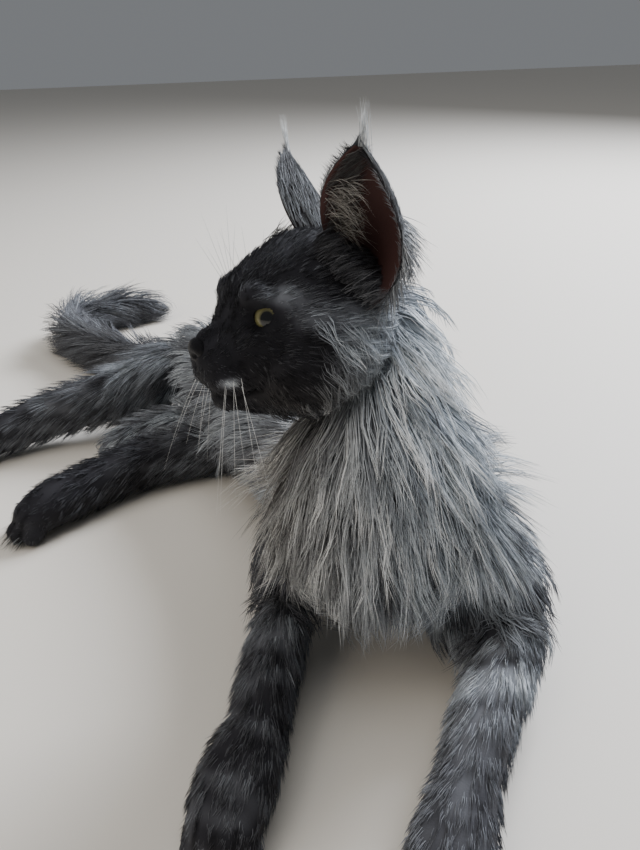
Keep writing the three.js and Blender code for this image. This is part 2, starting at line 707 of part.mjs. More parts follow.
function tailNodes() {
  return TAIL_CUTS.slice(1).map((to, i) => {
    const from = TAIL_CUTS[i];
    const name = `tail_${i + 1}`;
    const last = to === 1;
    COATS[name] = [["tail", {
      ...TAIL_LOCKS,
      from: from + 0.02,
      to: last ? 0.93 : to - 0.02,
      length: last ? 46 : TAIL_LOCKS.length,
      flow: (p) => nearestTangent(FORMS.tail, p),
    }]];
    return [name, SMOKE, coated(name, stretch("tail", from, to))];
  });
}

function nearestTangent(form, p) {
  const rings = Array.from({ length: 41 }, (_, i) => ringAt(form, i / 40));
  rings.sort((a, b) => a.centre.distanceToSquared(p) - b.centre.distanceToSquared(p));
  return rings[0].tangent;
}

const NODES = [
  ["nose", LEATHER, noseDetailed],
  ["eye_left", EYE_GREEN, (grow) => eyeball(1, EYE_RADIUS + grow)],
  ["eye_right", EYE_GREEN, (grow) => eyeball(-1, EYE_RADIUS + grow)],
  ["head", BLACK, coated("head", headBulk)],
  ["ear_left", SMOKE, coated("ear_left", (grow) => ear(1, grow))],
  ["ear_right", SMOKE, coated("ear_right", (grow) => ear(-1, grow))],
  ["neck", SILVER, coated("neck", whole("neck"))],
  ["torso_front", SMOKE, coated("torso_front", stretch("torso", 0, 0.36))],
  ["torso_middle", SMOKE, coated("torso_middle", stretch("torso", 0.36, 0.66))],
  ["torso_rear", SMOKE, coated("torso_rear", stretch("torso", 0.66, 1))],
  ["foreleg_left_upper", SMOKE, coated("foreleg_left_upper", whole("upper_arm_left"))],
  ["foreleg_left_lower", SMOKE,
    coated("foreleg_left_lower", stretch("lower_foreleg_left", 0, WRIST))],
  ["forepaw_left", BLACK, footed("forepaw_left", "lower_foreleg_left", WRIST)],
  ["foreleg_right_upper", SMOKE, coated("foreleg_right_upper", whole("upper_arm_right"))],
  ["foreleg_right_lower", SMOKE,
    coated("foreleg_right_lower", stretch("lower_foreleg_right", 0, WRIST))],
  ["forepaw_right", BLACK, footed("forepaw_right", "lower_foreleg_right", WRIST)],
  ["hindleg_left_thigh", SMOKE, coated("hindleg_left_thigh", whole("thigh_left"))],
  ["hindleg_left_shank", SMOKE,
    coated("hindleg_left_shank", stretch("lower_hindleg_left", 0, HOCK))],
  ["hindfoot_left", BLACK, footed("hindfoot_left", "lower_hindleg_left", HOCK)],
  ["hindleg_right_thigh", SMOKE, coated("hindleg_right_thigh", whole("thigh_right"))],
  ["hindleg_right_shank", SMOKE,
    coated("hindleg_right_shank", stretch("lower_hindleg_right", 0, HOCK))],
  ["hindfoot_right", BLACK, footed("hindfoot_right", "lower_hindleg_right", HOCK)],
  ...tailNodes(),
];

// All below the floor, cut away so that the cat rests on small flats
const below = solid(new THREE.BoxGeometry(2000, 2000, 100).translate(-150, 600, -50));

const largest = (body) => body.decompose().sort((a, b) => b.volume() - a.volume())[0];

function touching(a, b) {
  const p = a.boundingBox();
  const q = b.boundingBox();
  return [0, 1, 2].every((k) => p.min[k] < q.max[k] + 1 && q.min[k] < p.max[k] + 1);
}

// Each node cut clear of those before it, then laid on the floor
const cat = new THREE.Group();
const before = [];
for (const [name, material, make] of NODES) {
  let body = name === "head" ? headDetailed() : make(0);
  for (const [other, grown] of before) {
    const held = name === "head" && (other === "nose" || other.startsWith("eye"));
    if (!held && touching(body, grown)) {
      body = body.subtract(grown);
    }
  }
  body = largest(body.subtract(below));
  before.push([name, make(GAP)]);
  const mesh = body.getMesh();
  const geometry = new THREE.BufferGeometry();
  geometry.setAttribute("position", new THREE.BufferAttribute(new Float32Array(mesh.vertProperties), 3));
  geometry.setIndex(new THREE.BufferAttribute(new Uint32Array(mesh.triVerts), 1));
  geometry.computeVertexNormals();
  const part = new THREE.Mesh(geometry, material);
  part.name = name;
  cat.add(part);
}

const box = new THREE.Box3().setFromObject(cat);
cat.position.set(-(box.min.x + box.max.x) / 2, -(box.min.y + box.max.y) / 2, -box.min.z);
cat.updateMatrixWorld(true);

export default cat;
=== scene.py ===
import math

import bmesh
import bpy
import numpy as np
from mathutils import Matrix, Vector
from mathutils.bvhtree import BVHTree


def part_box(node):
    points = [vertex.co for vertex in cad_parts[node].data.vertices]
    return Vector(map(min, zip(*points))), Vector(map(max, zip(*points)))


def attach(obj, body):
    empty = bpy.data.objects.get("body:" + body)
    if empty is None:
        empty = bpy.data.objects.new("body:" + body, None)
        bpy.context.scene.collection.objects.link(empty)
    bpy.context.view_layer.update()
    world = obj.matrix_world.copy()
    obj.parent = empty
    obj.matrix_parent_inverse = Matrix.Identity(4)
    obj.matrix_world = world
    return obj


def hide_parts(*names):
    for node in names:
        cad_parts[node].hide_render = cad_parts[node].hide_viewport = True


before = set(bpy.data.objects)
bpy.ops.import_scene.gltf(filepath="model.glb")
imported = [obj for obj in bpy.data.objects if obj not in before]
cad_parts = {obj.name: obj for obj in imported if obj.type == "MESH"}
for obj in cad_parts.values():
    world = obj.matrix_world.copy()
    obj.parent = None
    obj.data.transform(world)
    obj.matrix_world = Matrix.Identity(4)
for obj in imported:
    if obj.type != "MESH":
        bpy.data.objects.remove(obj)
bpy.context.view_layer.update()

# A black smoke long-haired cat, life size, lying on the floor.
# The forms repeat the solids' own stations: centre x, y, z, half width, half height
# and depth of coat, in millimetres in a studio frame that the eye's place ties to the frame.
MM = 0.001
UP = np.array([0.0, 0.0, 1.0])
FRONT = np.array([0.0, -1.0, 0.0])
SEED = 7
SIDES = (-1, 1)
SIDE_NAME = {-1: "right", 1: "left"}
MIRROR = {s: np.array([1, s, 1]) for s in SIDES}

TORSO = [
    (38, 322, 88, 52, 54, 26), (38, 358, 98, 84, 80, 22), (28, 430, 96, 86, 86, 22),
    (-4, 510, 90, 86, 82, 24), (-52, 588, 84, 86, 78, 24), (-98, 660, 84, 82, 78, 24),
    (-145, 722, 76, 62, 64, 24), (-188, 768, 58, 30, 34, 18),
]
NECK = [
    (42, 354, 58, 54, 48, 36), (40, 347, 108, 92, 70, 46), (40, 350, 165, 99, 76, 52),
    (38, 364, 214, 82, 70, 46), (34, 384, 252, 64, 62, 34), (14, 392, 286, 44, 46, 22),
]
UPPER_ARM_LEFT = [(84, 378, 132, 40, 42, 16), (116, 346, 92, 46, 46, 18), (142, 320, 46, 36, 38, 16)]
LOWER_FORELEG_LEFT = [
    (142, 330, 42, 32, 36, 14), (122, 292, 42, 35, 37, 14), (98, 250, 38, 32, 34, 12),
    (80, 214, 32, 29, 30, 10), (66, 184, 28, 32, 28, 8), (54, 156, 23, 31, 23, 8),
    (46, 138, 16, 22, 15, 6),
]
UPPER_ARM_RIGHT = [(0, 384, 126, 40, 42, 16), (-20, 366, 88, 42, 44, 18), (-32, 348, 46, 34, 38, 16)]
LOWER_FORELEG_RIGHT = [
    (-30, 356, 42, 32, 36, 14), (-38, 316, 41, 33, 35, 14), (-44, 284, 37, 31, 33, 12),
    (-49, 256, 31, 29, 30, 10), (-58, 230, 28, 33, 28, 8), (-66, 204, 23, 32, 23, 8),
    (-71, 186, 16, 22, 15, 6),
]
THIGH_LEFT = [(-88, 700, 58, 50, 50, 22), (-92, 642, 52, 52, 50, 22), (-100, 592, 46, 44, 44, 20)]
LOWER_HINDLEG_LEFT = [
    (-84, 600, 44, 40, 42, 18), (-138, 588, 40, 38, 40, 18), (-186, 572, 36, 35, 36, 14),
    (-232, 542, 32, 32, 32, 12), (-270, 512, 28, 33, 28, 8), (-300, 488, 18, 24, 17, 6),
]
THIGH_RIGHT = [(-120, 712, 92, 54, 50, 24), (-182, 696, 82, 52, 48, 24), (-240, 680, 62, 42, 42, 20)]
LOWER_HINDLEG_RIGHT = [
    (-210, 686, 70, 40, 42, 22), (-270, 674, 60, 38, 41, 20), (-332, 660, 44, 33, 36, 16),
    (-390, 632, 32, 28, 30, 12), (-438, 602, 27, 32, 27, 8), (-468, 584, 18, 23, 17, 6),
]
TAIL = [
    (-168, 752, 62, 26, 26, 16), (-205, 780, 54, 34, 34, 22), (-258, 822, 46, 39, 39, 26),
    (-326, 878, 42, 41, 41, 28), (-382, 932, 41, 41, 40, 28), (-394, 990, 40, 40, 39, 28),
    (-350, 1032, 39, 38, 38, 26), (-298, 1048, 34, 30, 32, 22), (-262, 1052, 26, 14, 16, 12),
]
# Loose folds: belly and groin between the hind legs, and the elbow against the chest
BELLY_FOLD = [
    (-50, 632, 54, 48, 50, 20), (-125, 632, 44, 42, 42, 20), (-190, 630, 36, 36, 33, 18),
    (-250, 614, 24, 22, 22, 12),
]
ELBOW_FOLD = [(84, 384, 78, 46, 50, 18), (104, 346, 58, 46, 50, 18), (112, 300, 42, 38, 36, 14)]
HEAD_CENTRE = np.array([-13.5, 372.0, 271.0])
HEAD_YAW, HEAD_PITCH, HEAD_ROLL = 27, 7, 9
# Rings of the head: x, top, bottom, half width, height of the widest place
HEAD_RINGS = [
    (-58, 22, -22, 26, 0), (-48, 38, -38, 42, -4), (-30, 50, -50, 53, -10), (-10, 54, -58, 57, -16),
    (8, 49, -61, 53, -18), (22, 42, -61, 45, -20), (33, 35, -59, 34, -22), (41, 27, -56, 27, -24),
    (46, 14, -54, 24.5, -25), (50, 5, -51, 23.5, -26), (56, -1, -46, 22, -26), (61, -5, -40, 18, -24),
    (64.5, -10, -31, 11, -20),
]
HEAD_COAT = 3.5
EYE_CENTRE = np.array([24.5, 20.0, 5.0])
EYE_RADIUS = 10.5
EYE_OUT = 24
NOSE_CENTRE = np.array([63.5, 0.0, -15.0])
EAR_INNER = [(-12, 18, 48), (-5, 29, 74), (-16, 44, 95)]
EAR_BACK = [(-46, 22, 36), (-38, 38, 66), (-18, 44, 94)]
EAR_OUTER = [(-28, 52, 14), (-35, 60, 48), (-16, 45, 95)]
EAR_THICK = 3.0

# The camera, worked out from the floor boards' vanishing points, above the studio origin
CAMERA_HEIGHT = 420.0
CAMERA_PITCH = 31.6
CAMERA_ROLL = 2.3
FOCAL_PIXELS = 642.0
PHOTO_LONG_SIDE = 850.0


def srgb(code):
    # A colour written as sRGB hex, as linear values
    parts = [int(code[i:i + 2], 16) / 255 for i in (1, 3, 5)]
    return [c / 12.92 if c <= 0.04045 else ((c + 0.055) / 1.055) ** 2.4 for c in parts]


def rgba(code):
    return srgb(code) + [1]


def ramp(value, start, end):
    # From 0 at its start to 1 at its end
    return np.clip((value - start) / (end - start), 0, 1)


def peak(value, centre, width):
    # A smooth hump, 1 at its centre
    return np.exp(-((value - centre) / width) ** 2)


def unit(v):
    return v / np.maximum(np.linalg.norm(v, axis=-1, keepdims=True), 1e-9)


# Frames
def head_axes():
    yaw, pitch, roll = (math.radians(a) for a in (HEAD_YAW, HEAD_PITCH, HEAD_ROLL))
    level = np.array([-math.cos(yaw), -math.sin(yaw), 0.0])
    left = np.cross(UP, level)
    fore = math.cos(pitch) * level + math.sin(pitch) * UP
    crown = -math.sin(pitch) * level + math.cos(pitch) * UP
    side = math.cos(roll) * left + math.sin(roll) * crown
    top = math.cos(roll) * crown - math.sin(roll) * left
    return np.array([fore, side, top])


HEAD_AXES = head_axes()


def head_place(local):
    return HEAD_CENTRE + np.asarray(local, float) @ HEAD_AXES


def head_local(places):
    return (np.asarray(places) - HEAD_CENTRE) @ HEAD_AXES.T


def studio_shift():
    low, high = (np.array(c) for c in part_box("eye_left"))
    return (low + high) / 2 / MM - head_place(EYE_CENTRE)


SHIFT = studio_shift()


def metres(places):
    return (np.asarray(places) + SHIFT) * MM


# Forms: smooth solids through their stations
TANGENT_STEP = 0.02
LEAST_END = 0.2
UNDERSIDE_COAT = 3


def column(stations, k, t):
    # One number of the stations at t from 0 to 1, on a smooth curve through them all
    values = np.array([s[k] for s in stations], float)
    n = len(values) - 1
    t = np.clip(np.asarray(t, float), 0, 1) * n
    i = np.minimum(t.astype(int), n - 1)
    s = t - i
    a, b, c, d = (values[np.clip(i + j, 0, n)] for j in (-1, 0, 1, 2))
    bend = 2 * b + (c - a) * s + (2 * a - 5 * b + 4 * c - d) * s ** 2
    return 0.5 * (bend + (3 * b - a - 3 * c + d) * s ** 3)


class Form:
    # A soft solid round a bent line: which way is up on it, how long its round ends are,
    # and whether the floor presses its underside flat
    def __init__(self, name, stations, up=UP, cap=0.22, pressed=True):
        self.name = name
        self.stations = stations
        self.up = up
        self.cap = cap
        self.pressed = pressed

    def centre(self, t):
        return np.stack([column(self.stations, k, t) for k in range(3)], axis=-1)

    def rings(self, t, share):
        # Centre, axes and half sizes at t, drawn in by a share of the coat's depth
        t = np.asarray(t, float)
        ahead, behind = np.minimum(t + TANGENT_STEP, 1), np.maximum(t - TANGENT_STEP, 0)
        tangent = unit(self.centre(ahead) - self.centre(behind))
        side = unit(np.cross(tangent, self.up))
        rise = np.cross(side, tangent)
        coat = share * column(self.stations, 5, t)
        half_height = column(self.stations, 4, t)
        depth = np.minimum(1, np.minimum(t, 1 - t) / self.cap)
        size = np.sqrt(np.maximum(LEAST_END ** 2, 1 - (1 - depth) ** 2))
        wide = (column(self.stations, 3, t) - coat) * size
        high = (half_height - coat) * size
        low = (half_height - UNDERSIDE_COAT) * size if self.pressed else high
        return self.centre(t), tangent, side, rise, wide, high, low


FORMS = [
    Form("neck", NECK, FRONT, pressed=False),
    Form("torso", TORSO),
    Form("upper_arm_left", UPPER_ARM_LEFT, cap=0.3),
    Form("lower_foreleg_left", LOWER_FORELEG_LEFT, cap=0.08),
    Form("upper_arm_right", UPPER_ARM_RIGHT, cap=0.3),
    Form("lower_foreleg_right", LOWER_FORELEG_RIGHT, cap=0.08),
    Form("thigh_left", THIGH_LEFT, cap=0.3),
    Form("lower_hindleg_left", LOWER_HINDLEG_LEFT, cap=0.08),
    Form("thigh_right", THIGH_RIGHT, cap=0.3),
    Form("lower_hindleg_right", LOWER_HINDLEG_RIGHT, cap=0.08),
    Form("tail", TAIL, cap=0.1),
    Form("belly_fold", BELLY_FOLD, cap=0.3),
    Form("elbow_fold", ELBOW_FOLD, cap=0.3),
]
FORM_INDEX = {form.name: i for i, form in enumerate(FORMS)}
HEAD_INDEX = len(FORMS)
EAR_INDEX = len(FORMS) + 1


# Meshes
def stand(name, data):
    # A new object in the scene that holds this data
    piece = bpy.data.objects.new(name, data)
    bpy.context.scene.collection.objects.link(piece)
    return piece


def mesh_object(name, verts, faces):
    # A mesh from places in millimetres of the studio frame
    data = bpy.data.meshes.new(name)
    data.from_pydata(metres(verts).tolist(), [], [list(f) for f in faces])
    data.update()
    return stand(name, data)


def tube(rows):
    # Rings of points joined into a closed tube with flat ends
    n, m = len(rows), len(rows[0])
    verts = np.concatenate(rows)
    faces = []
    for i in range(n - 1):
        for j in range(m):
            k = (j + 1) % m
            faces.append((i * m + j, i * m + k, (i + 1) * m + k, (i + 1) * m + j))
    faces.append(tuple(range(m - 1, -1, -1)))
    faces.append(tuple((n - 1) * m + j for j in range(m)))
    return verts, faces


def form_tube(form, rings=40, sides=32):
    # A form at its core, under the whole depth of its coat
    centre, _, side, rise, wide, high, low = form.rings(np.linspace(0, 1, rings), 1.0)
    angle = np.linspace(0, 2 * np.pi, sides, endpoint=False)
    rows = []
    for i in range(rings):
        up = np.where(np.sin(angle) < 0, low[i], high[i])
        row = centre[i] + np.outer(np.cos(angle) * wide[i], side[i])
        rows.append(row + np.outer(np.sin(angle) * up, rise[i]))
    return tube(rows)


def head_tube(rings=60, sides=48):
    # The skull under its short coat
    t = np.linspace(0, 1, rings)
    x, top, bottom, wide, mid = (column(HEAD_RINGS, k, t) for k in range(5))
    angle = np.linspace(0, 2 * np.pi, sides, endpoint=False)
    rows = []
    for i in range(rings):
        half = np.where(np.sin(angle) > 0, top[i] - mid[i], mid[i] - bottom[i]) - HEAD_COAT
        across = (wide[i] - HEAD_COAT) * np.cos(angle)
        local = np.stack([np.full(sides, x[i]), across, mid[i] + half * np.sin(angle)], axis=1)
        rows.append(head_place(local))
    return tube(rows)


def ellipsoid(centre, axes, size, detail):
    # Rings round its first axis, from front to back
    turn = np.linspace(0, 2 * np.pi, detail, endpoint=False)
    rows = []
    for i in range(1, detail):
        lean = math.pi * i / detail
        ring = centre + axes[0] * size[0] * math.cos(lean)
        ring = ring + np.outer(np.cos(turn) * math.sin(lean) * size[1], axes[1])
        rows.append(ring + np.outer(np.sin(turn) * math.sin(lean) * size[2], axes[2]))
    return tube(rows)


def head_ball(centre, size, detail=24):
    return ellipsoid(head_place(centre), HEAD_AXES, size, detail)


def joined(parts):
    # Vertices and faces of several parts as one list each
    verts, faces, start = [], [], 0
    for part_verts, part_faces in parts:
        verts.append(part_verts)
        faces += [tuple(i + start for i in face) for face in part_faces]
        start += len(part_verts)
    return np.concatenate(verts), faces


def face_outward(piece):
    fix = bmesh.new()
    fix.from_mesh(piece.data)
    bmesh.ops.recalc_face_normals(fix, faces=fix.faces)
    fix.to_mesh(piece.data)
    fix.free()


def apply_modifiers(piece):
    graph = bpy.context.evaluated_depsgraph_get()
    data = bpy.data.meshes.new_from_object(piece.evaluated_get(graph))
    piece.modifiers.clear()
    old = piece.data
    piece.data = data
    data.name = piece.name
    bpy.data.meshes.remove(old)


def fused_skin(name, parts, voxel):
    # One closed, softened skin from parts that overlap
    piece = mesh_object(name, *joined(parts))
    face_outward(piece)
    remesh = piece.modifiers.new("fuse", "REMESH")
    remesh.mode = "VOXEL"
    remesh.voxel_size = voxel
    smooth = piece.modifiers.new("relax", "SMOOTH")
    smooth.factor = 0.5
    smooth.iterations = 4
    apply_modifiers(piece)
    return piece


def studio_places(piece):
    # A piece's vertices, in millimetres of the studio frame
    places = np.empty(len(piece.data.vertices) * 3, np.float32)
    piece.data.vertices.foreach_get("co", places)
    return places.reshape(-1, 3).astype(float) / MM - SHIFT


def move_vertices(piece, places):
    piece.data.vertices.foreach_set("co", metres(places).astype(np.float32).ravel())
    piece.data.update()


def dress(piece, surface):
    # One material, shaded smooth
    piece.data.materials.clear()
    piece.data.materials.append(surface)
    piece.data.polygons.foreach_set("use_smooth", np.ones(len(piece.data.polygons), bool))


def point_values(data, name, values):
    # A named number at every point
    layer = data.attributes.new(name, "FLOAT", "POINT")
    layer.data.foreach_set("value", np.asarray(values, np.float32))


# Skin of the body, with toes in a shallow arc across each paw
BODY_VOXEL = 0.0031
TOES = 4
TOE_SIZE = (12.0, 6.6, 9.5)
TOE_HEIGHT = 11.5
TOE_SPREAD = 18.5
TOE_STATION = 0.97
TOE_REACH = 4
TOE_STAGGER = 11
FEET = ["lower_foreleg_left", "lower_foreleg_right", "lower_hindleg_left", "lower_hindleg_right"]


def toe_places(form):
    # Place, side and front of each toe
    centre, tangent, side = (v[0] for v in form.rings(np.array([TOE_STATION]), 0.5)[:3])
    for across in np.linspace(-1, 1, TOES):
        ahead = TOE_REACH - TOE_STAGGER * across ** 2
        place = centre + side * across * TOE_SPREAD + tangent * ahead
        place[2] = TOE_HEIGHT
        yield place, side, tangent


def body_skin():
    parts = [form_tube(form) for form in FORMS]
    for name in FEET:
        for place, side, tangent in toe_places(FORMS[FORM_INDEX[name]]):
            parts.append(ellipsoid(place, (tangent, side, UP), TOE_SIZE, 20))
    return fused_skin("body_skin", parts, BODY_VOXEL)


# Skin of the head: the skull, then fleshy parts on both sides and on the middle line
HEAD_VOXEL = 0.0014
SIDE_FLESH = {
    "muzzle pad": ((50, 10, -29), (12, 12, 11)),
    "brow": ((30, 18, 16), (12, 11, 9)),
    "cheek": ((6, 34, -26), (26, 16, 24)),
    "lids": (EYE_CENTRE, (12.4, 12.4, 12.4)),
}
MIDDLE_FLESH = {
    "chin": ((46, 0, -45), (9, 13, 8)),
    "bridge of the nose": ((50, 0, -8), (13, 8, 7)),
}


def head_skin():
    parts = [head_tube()]
    for s in SIDES:
        parts += [head_ball(np.array(centre) * MIRROR[s], size) for centre, size in SIDE_FLESH.values()]
    parts += [head_ball(centre, size) for centre, size in MIDDLE_FLESH.values()]
    return fused_skin("head_skin", parts, HEAD_VOXEL)


# The open eye seen along its gaze: pointed at both corners, a little raised outside
EYE_HALF_WIDTH = 9.6
EYE_HALF_HEIGHT = 7.4
LOWER_LID = 0.88
LID_TILT = 2.0
GAZE_RISE = 0.06


def gaze_axes(side):
    out = math.radians(EYE_OUT) * side
    gaze = unit(np.array([math.cos(out), math.sin(out), GAZE_RISE]))
    across = unit(np.cross(UP, gaze)) * side
    rise = unit(UP - gaze * gaze[2])
    return gaze, across, rise


def lid_edge(x):
    # Upper and lower lid heights across the eye, from its inner corner to its outer
    s = np.clip(x / EYE_HALF_WIDTH, -1, 1)
    arch = np.sqrt(np.maximum(0, 1 - s ** 2))
    top = EYE_HALF_HEIGHT * arch ** 0.9
    return LID_TILT * s + top, LID_TILT * s - EYE_HALF_HEIGHT * LOWER_LID * arch


def eye_view(local, side):
    # Places as one eye has them: offset, how far inside the lids' edge, and how far ahead
    gaze, across, rise = gaze_axes(side)
    offset = local - EYE_CENTRE * MIRROR[side]
    x, z = offset @ across, offset @ rise
    top, bottom = lid_edge(x)
    inside = np.minimum(np.minimum(top - z, z - bottom), EYE_HALF_WIDTH - np.abs(x))
    return offset, inside, offset @ gaze


# The line of the mouth, seen from the side
MOUTH_WIDTH = 1.6
FAR_OFF = 99.0
MOUTH_LINE = np.array([(67, -33), (61, -37), (54, -42), (44, -42), (35, -36)], float)


def mouth_gap(local):
    # How far a place is from the line of the mouth
    side_view = local[:, [0, 2]]
    gap = np.full(len(local), FAR_OFF)
    for a, b in zip(MOUTH_LINE[:-1], MOUTH_LINE[1:]):
        along = np.clip(((side_view - a) @ (b - a)) / ((b - a) @ (b - a)), 0, 1)
        gap = np.minimum(gap, np.linalg.norm(side_view - (a + along[:, None] * (b - a)), axis=1))
    return gap


# How far the eyes are opened, and how deep the mouth and the furrow under the nose are
SOCKET_RADIUS = 9.3
LID_RADIUS = 12.2
LID_RIM = 1.6
LID_REACH = 17
MOUTH_DEPTH = 2.8
FURROW_DEPTH = 1.8
FURROW_WIDTH = 1.2
JAW_MIDDLE = np.array([40.0, 0.0, -34.0])


def carve_face(piece):
    # Opens the eyes down to their sockets and rolls the rims of the lids
    local = head_local(studio_places(piece))
    for s in SIDES:
        offset, inside, ahead = eye_view(local, s)
        reach = np.linalg.norm(offset, axis=1)
        near = (ahead > 0) & (reach < LID_REACH)
        rim = peak(inside, -LID_RIM, LID_RIM) * near
        target = reach + 0.6 * np.clip(LID_RADIUS - reach, -3, 3) * rim
        target = np.where(near & (inside > 0), SOCKET_RADIUS, target)
        local = EYE_CENTRE * MIRROR[s] + offset * (target / np.maximum(reach, 1e-6))[:, None]
    # Presses in the line of the mouth and the furrow under the nose
    push = MOUTH_DEPTH * peak(mouth_gap(local), 0, MOUTH_WIDTH)
    furrow = (np.abs(local[:, 2] + 28) < 7) & (local[:, 0] > 52)
    push += FURROW_DEPTH * peak(local[:, 1], 0, FURROW_WIDTH) * furrow
    inward = unit(JAW_MIDDLE - local)
    move_vertices(piece, head_place(local + inward * push[:, None]))


# Ears: a leaf curled into a cup, across from -1 to 1 and up from 0 to 1
EAR_GRID = (28, 34)
EAR_FOOT = -0.24
EAR_END = 0.985


def bezier(points, t):
    a, b, c = (np.asarray(p, float) for p in points)
    m = 2 * b - 0.5 * a - 0.5 * c
    t = np.asarray(t, float)[..., None]
    return a * (1 - t) ** 2 + 2 * m * t * (1 - t) + c * t ** 2


def ear_sheet(s, t):
    s1 = np.asarray(s, float)[..., None]
    inner, back, outer = (bezier(p, t) for p in (EAR_INNER, EAR_BACK, EAR_OUTER))
    return inner * (s1 ** 2 - s1) / 2 + back * (1 - s1 ** 2) + outer * (s1 ** 2 + s1) / 2


def ear_across(s, t):
    return ear_sheet(s + 0.04, t) - ear_sheet(s - 0.04, t)


def ear_rise(s, t):
    return ear_sheet(s, np.minimum(t + 0.02, 1)) - ear_sheet(s, t - 0.02)


def ear_normal(s, t):
    return unit(np.cross(ear_across(s, t), ear_rise(s, t)))


def ear_skin(side):
    # Thinner toward its rims and its tip
    wide, tall = EAR_GRID
    s, t = np.meshgrid(np.linspace(-1, 1, wide), np.linspace(EAR_FOOT, EAR_END, tall))
    thick = EAR_THICK * (1 - 0.45 * np.maximum(t, 0)) * (1 - 0.55 * np.abs(s) ** 3)
    lift = ear_normal(s, t) * thick[..., None] / 2
    sheets = [ear_sheet(s, t) + lift, ear_sheet(s, t) - lift]
    verts = np.concatenate([sheet.reshape(-1, 3) for sheet in sheets]) * MIRROR[side]
    half = wide * tall
    faces = []
    for j in range(tall - 1):
        for i in range(wide - 1):
            a = j * wide + i
            faces.append((a, a + 1, a + wide + 1, a + wide))
            faces.append((half + a, half + a + wide, half + a + wide + 1, half + a + 1))
    edge = list(range(wide)) + [j * wide + wide - 1 for j in range(1, tall)]
    edge += [(tall - 1) * wide + i for i in range(wide - 2, -1, -1)]
    edge += [j * wide for j in range(tall - 2, 0, -1)]
    for a, b in zip(edge, edge[1:] + edge[:1]):
        faces.append((b, a, half + a, half + b))
    piece = mesh_object(f"ear_skin_{SIDE_NAME[side]}", head_place(verts), faces)
    face_outward(piece)
    return piece


# Markings, with painted light on the ruff and painted shade between the toes: how silver the coat is at
# a place, from 0 for black to 1 for white, and how warm
def blob(places, centre, radius):
    d = np.linalg.norm((places - np.asarray(centre)) / np.asarray(radius), axis=1)
    return np.exp(-d ** 2)


def blend(value, target, weight):
    return value + (target - value) * weight


WAVES = 5


def waves(places, size, seed):
    # A smooth pattern of a few crossing waves, which wanders between -1 and 1
    rng = np.random.default_rng(seed)
    total = np.zeros(len(places))
    for _ in range(WAVES):
        way = unit(rng.normal(size=3))
        turn = places @ way * (2 * np.pi / size) * rng.uniform(0.7, 1.5)
        total += np.sin(turn + rng.uniform(0, 6.28))
    return total / 3


# Marks of the face: how silver, how strong, where on the head, and how far each way
FACE_TONE = 0.16
FACE_MARKS = [
    (0.26, 0.7, (-10, 30, 44), (26, 18, 12)),  # crown
    (0.66, 0.95, (25, 34, 18), (14, 9, 8)),  # patch over the eye
    (0.62, 0.95, (11, 49, 10), (13, 10, 10)),  # patch behind the eye
    (0.36, 0.7, (36, 19, 22), (8, 7, 5)),  # inner brow
    (0.62, 0.95, (-12, 56, 4), (9, 12, 9)),  # upper end of the cheek's streak
    (0.70, 0.95, (-20, 60, -12), (12, 14, 12)),  # streak of the cheek
    (0.70, 0.95, (-34, 52, -28), (16, 20, 18)),  # its lower end
    (0.92, 0.95, (-46, 50, 8), (13, 18, 18)),  # below and behind the ear
    (0.24, 0.7, (48, 20, -8), (7, 6, 6)),  # side of the nose
    (0.20, 0.6, (57, 5, -4), (8, 6, 5)),  # bridge of the nose
    (0.32, 0.6, (4, 48, -38), (16, 16, 14)),  # jowl
    (0.95, 0.95, (51, 22, -31), (6, 7, 3)),  # white of the upper lip
    (0.30, 0.7, (44, 12, -52), (7, 10, 5)),  # chin
    (0.04, 0.9, (36, 25, 3), (7, 6, 6)),  # dark corner before the eye
    (0.02, 0.95, (31, 28, 4), (8, 7.5, 8)),  # dark rim round the eye
]


def face_marks(places):
    local = head_local(places)
    mirror = local.copy()
    mirror[:, 1] = np.abs(mirror[:, 1])
    x, z = local[:, 0], local[:, 2]
    tone = np.full(len(local), FACE_TONE)
    # The silver cheek behind the dark face, and the jaw
    tone += ramp(x, 6, -12) * ramp(z, 17, 5) * (0.5 + 0.1 * waves(places, 18, 21))
    tone += 0.18 * ramp(z, -38, -50) * ramp(x, 34, 20)
    for value, strength, centre, radius in FACE_MARKS:
        tone = blend(tone, value, strength * blob(mirror, centre, radius))
    tone = tone * (1 - 0.85 * peak(mouth_gap(local), 0, MOUTH_WIDTH))
    tone = tone + 0.05 * waves(places, 14, 3)
    warm = 0.12 + 0.5 * blob(mirror, (20, 36, -40), (34, 26, 20))
    return tone, warm


# Coat of each form: its tone, then how strong its waves are, their size and their seed
FORM_TONES = {
    "neck": (0.67, 0.07, 40, 12),
    "torso": (0.56, 0.14, 50, 5),
    "upper_arm_left": (0.52, 0.0, 40, 1),
    "elbow_fold": (0.52, 0.0, 40, 1),
    "lower_foreleg_left": (0.36, 0.05, 22, 31),
    "upper_arm_right": (0.3, 0.08, 30, 14),
    "lower_foreleg_right": (0.3, 0.1, 26, 6),
    "belly_fold": (0.56, 0.2, 34, 16),
    "thigh_left": (0.5, 0.14, 42, 8),
    "thigh_right": (0.5, 0.14, 42, 8),
    "lower_hindleg_left": (0.44, 0.08, 34, 9),
    "lower_hindleg_right": (0.44, 0.08, 34, 9),
    "tail": (0.4, 0.07, 50, 4),
}
# Bands across a form: the course they lie on, their middle, their width, and how much paler
FORM_BANDS = [
    ("torso", "z", 165, 30, -0.14),
    ("lower_foreleg_left", "y", 266, 34, 0.36),
    ("lower_foreleg_left", "arc", 330, 9, 0.12),
    ("lower_foreleg_left", "arc", 288, 4.5, -0.3),
    ("lower_foreleg_left", "arc", 258, 3.5, -0.2),
    ("lower_foreleg_right", "y", 322, 30, 0.2),
]
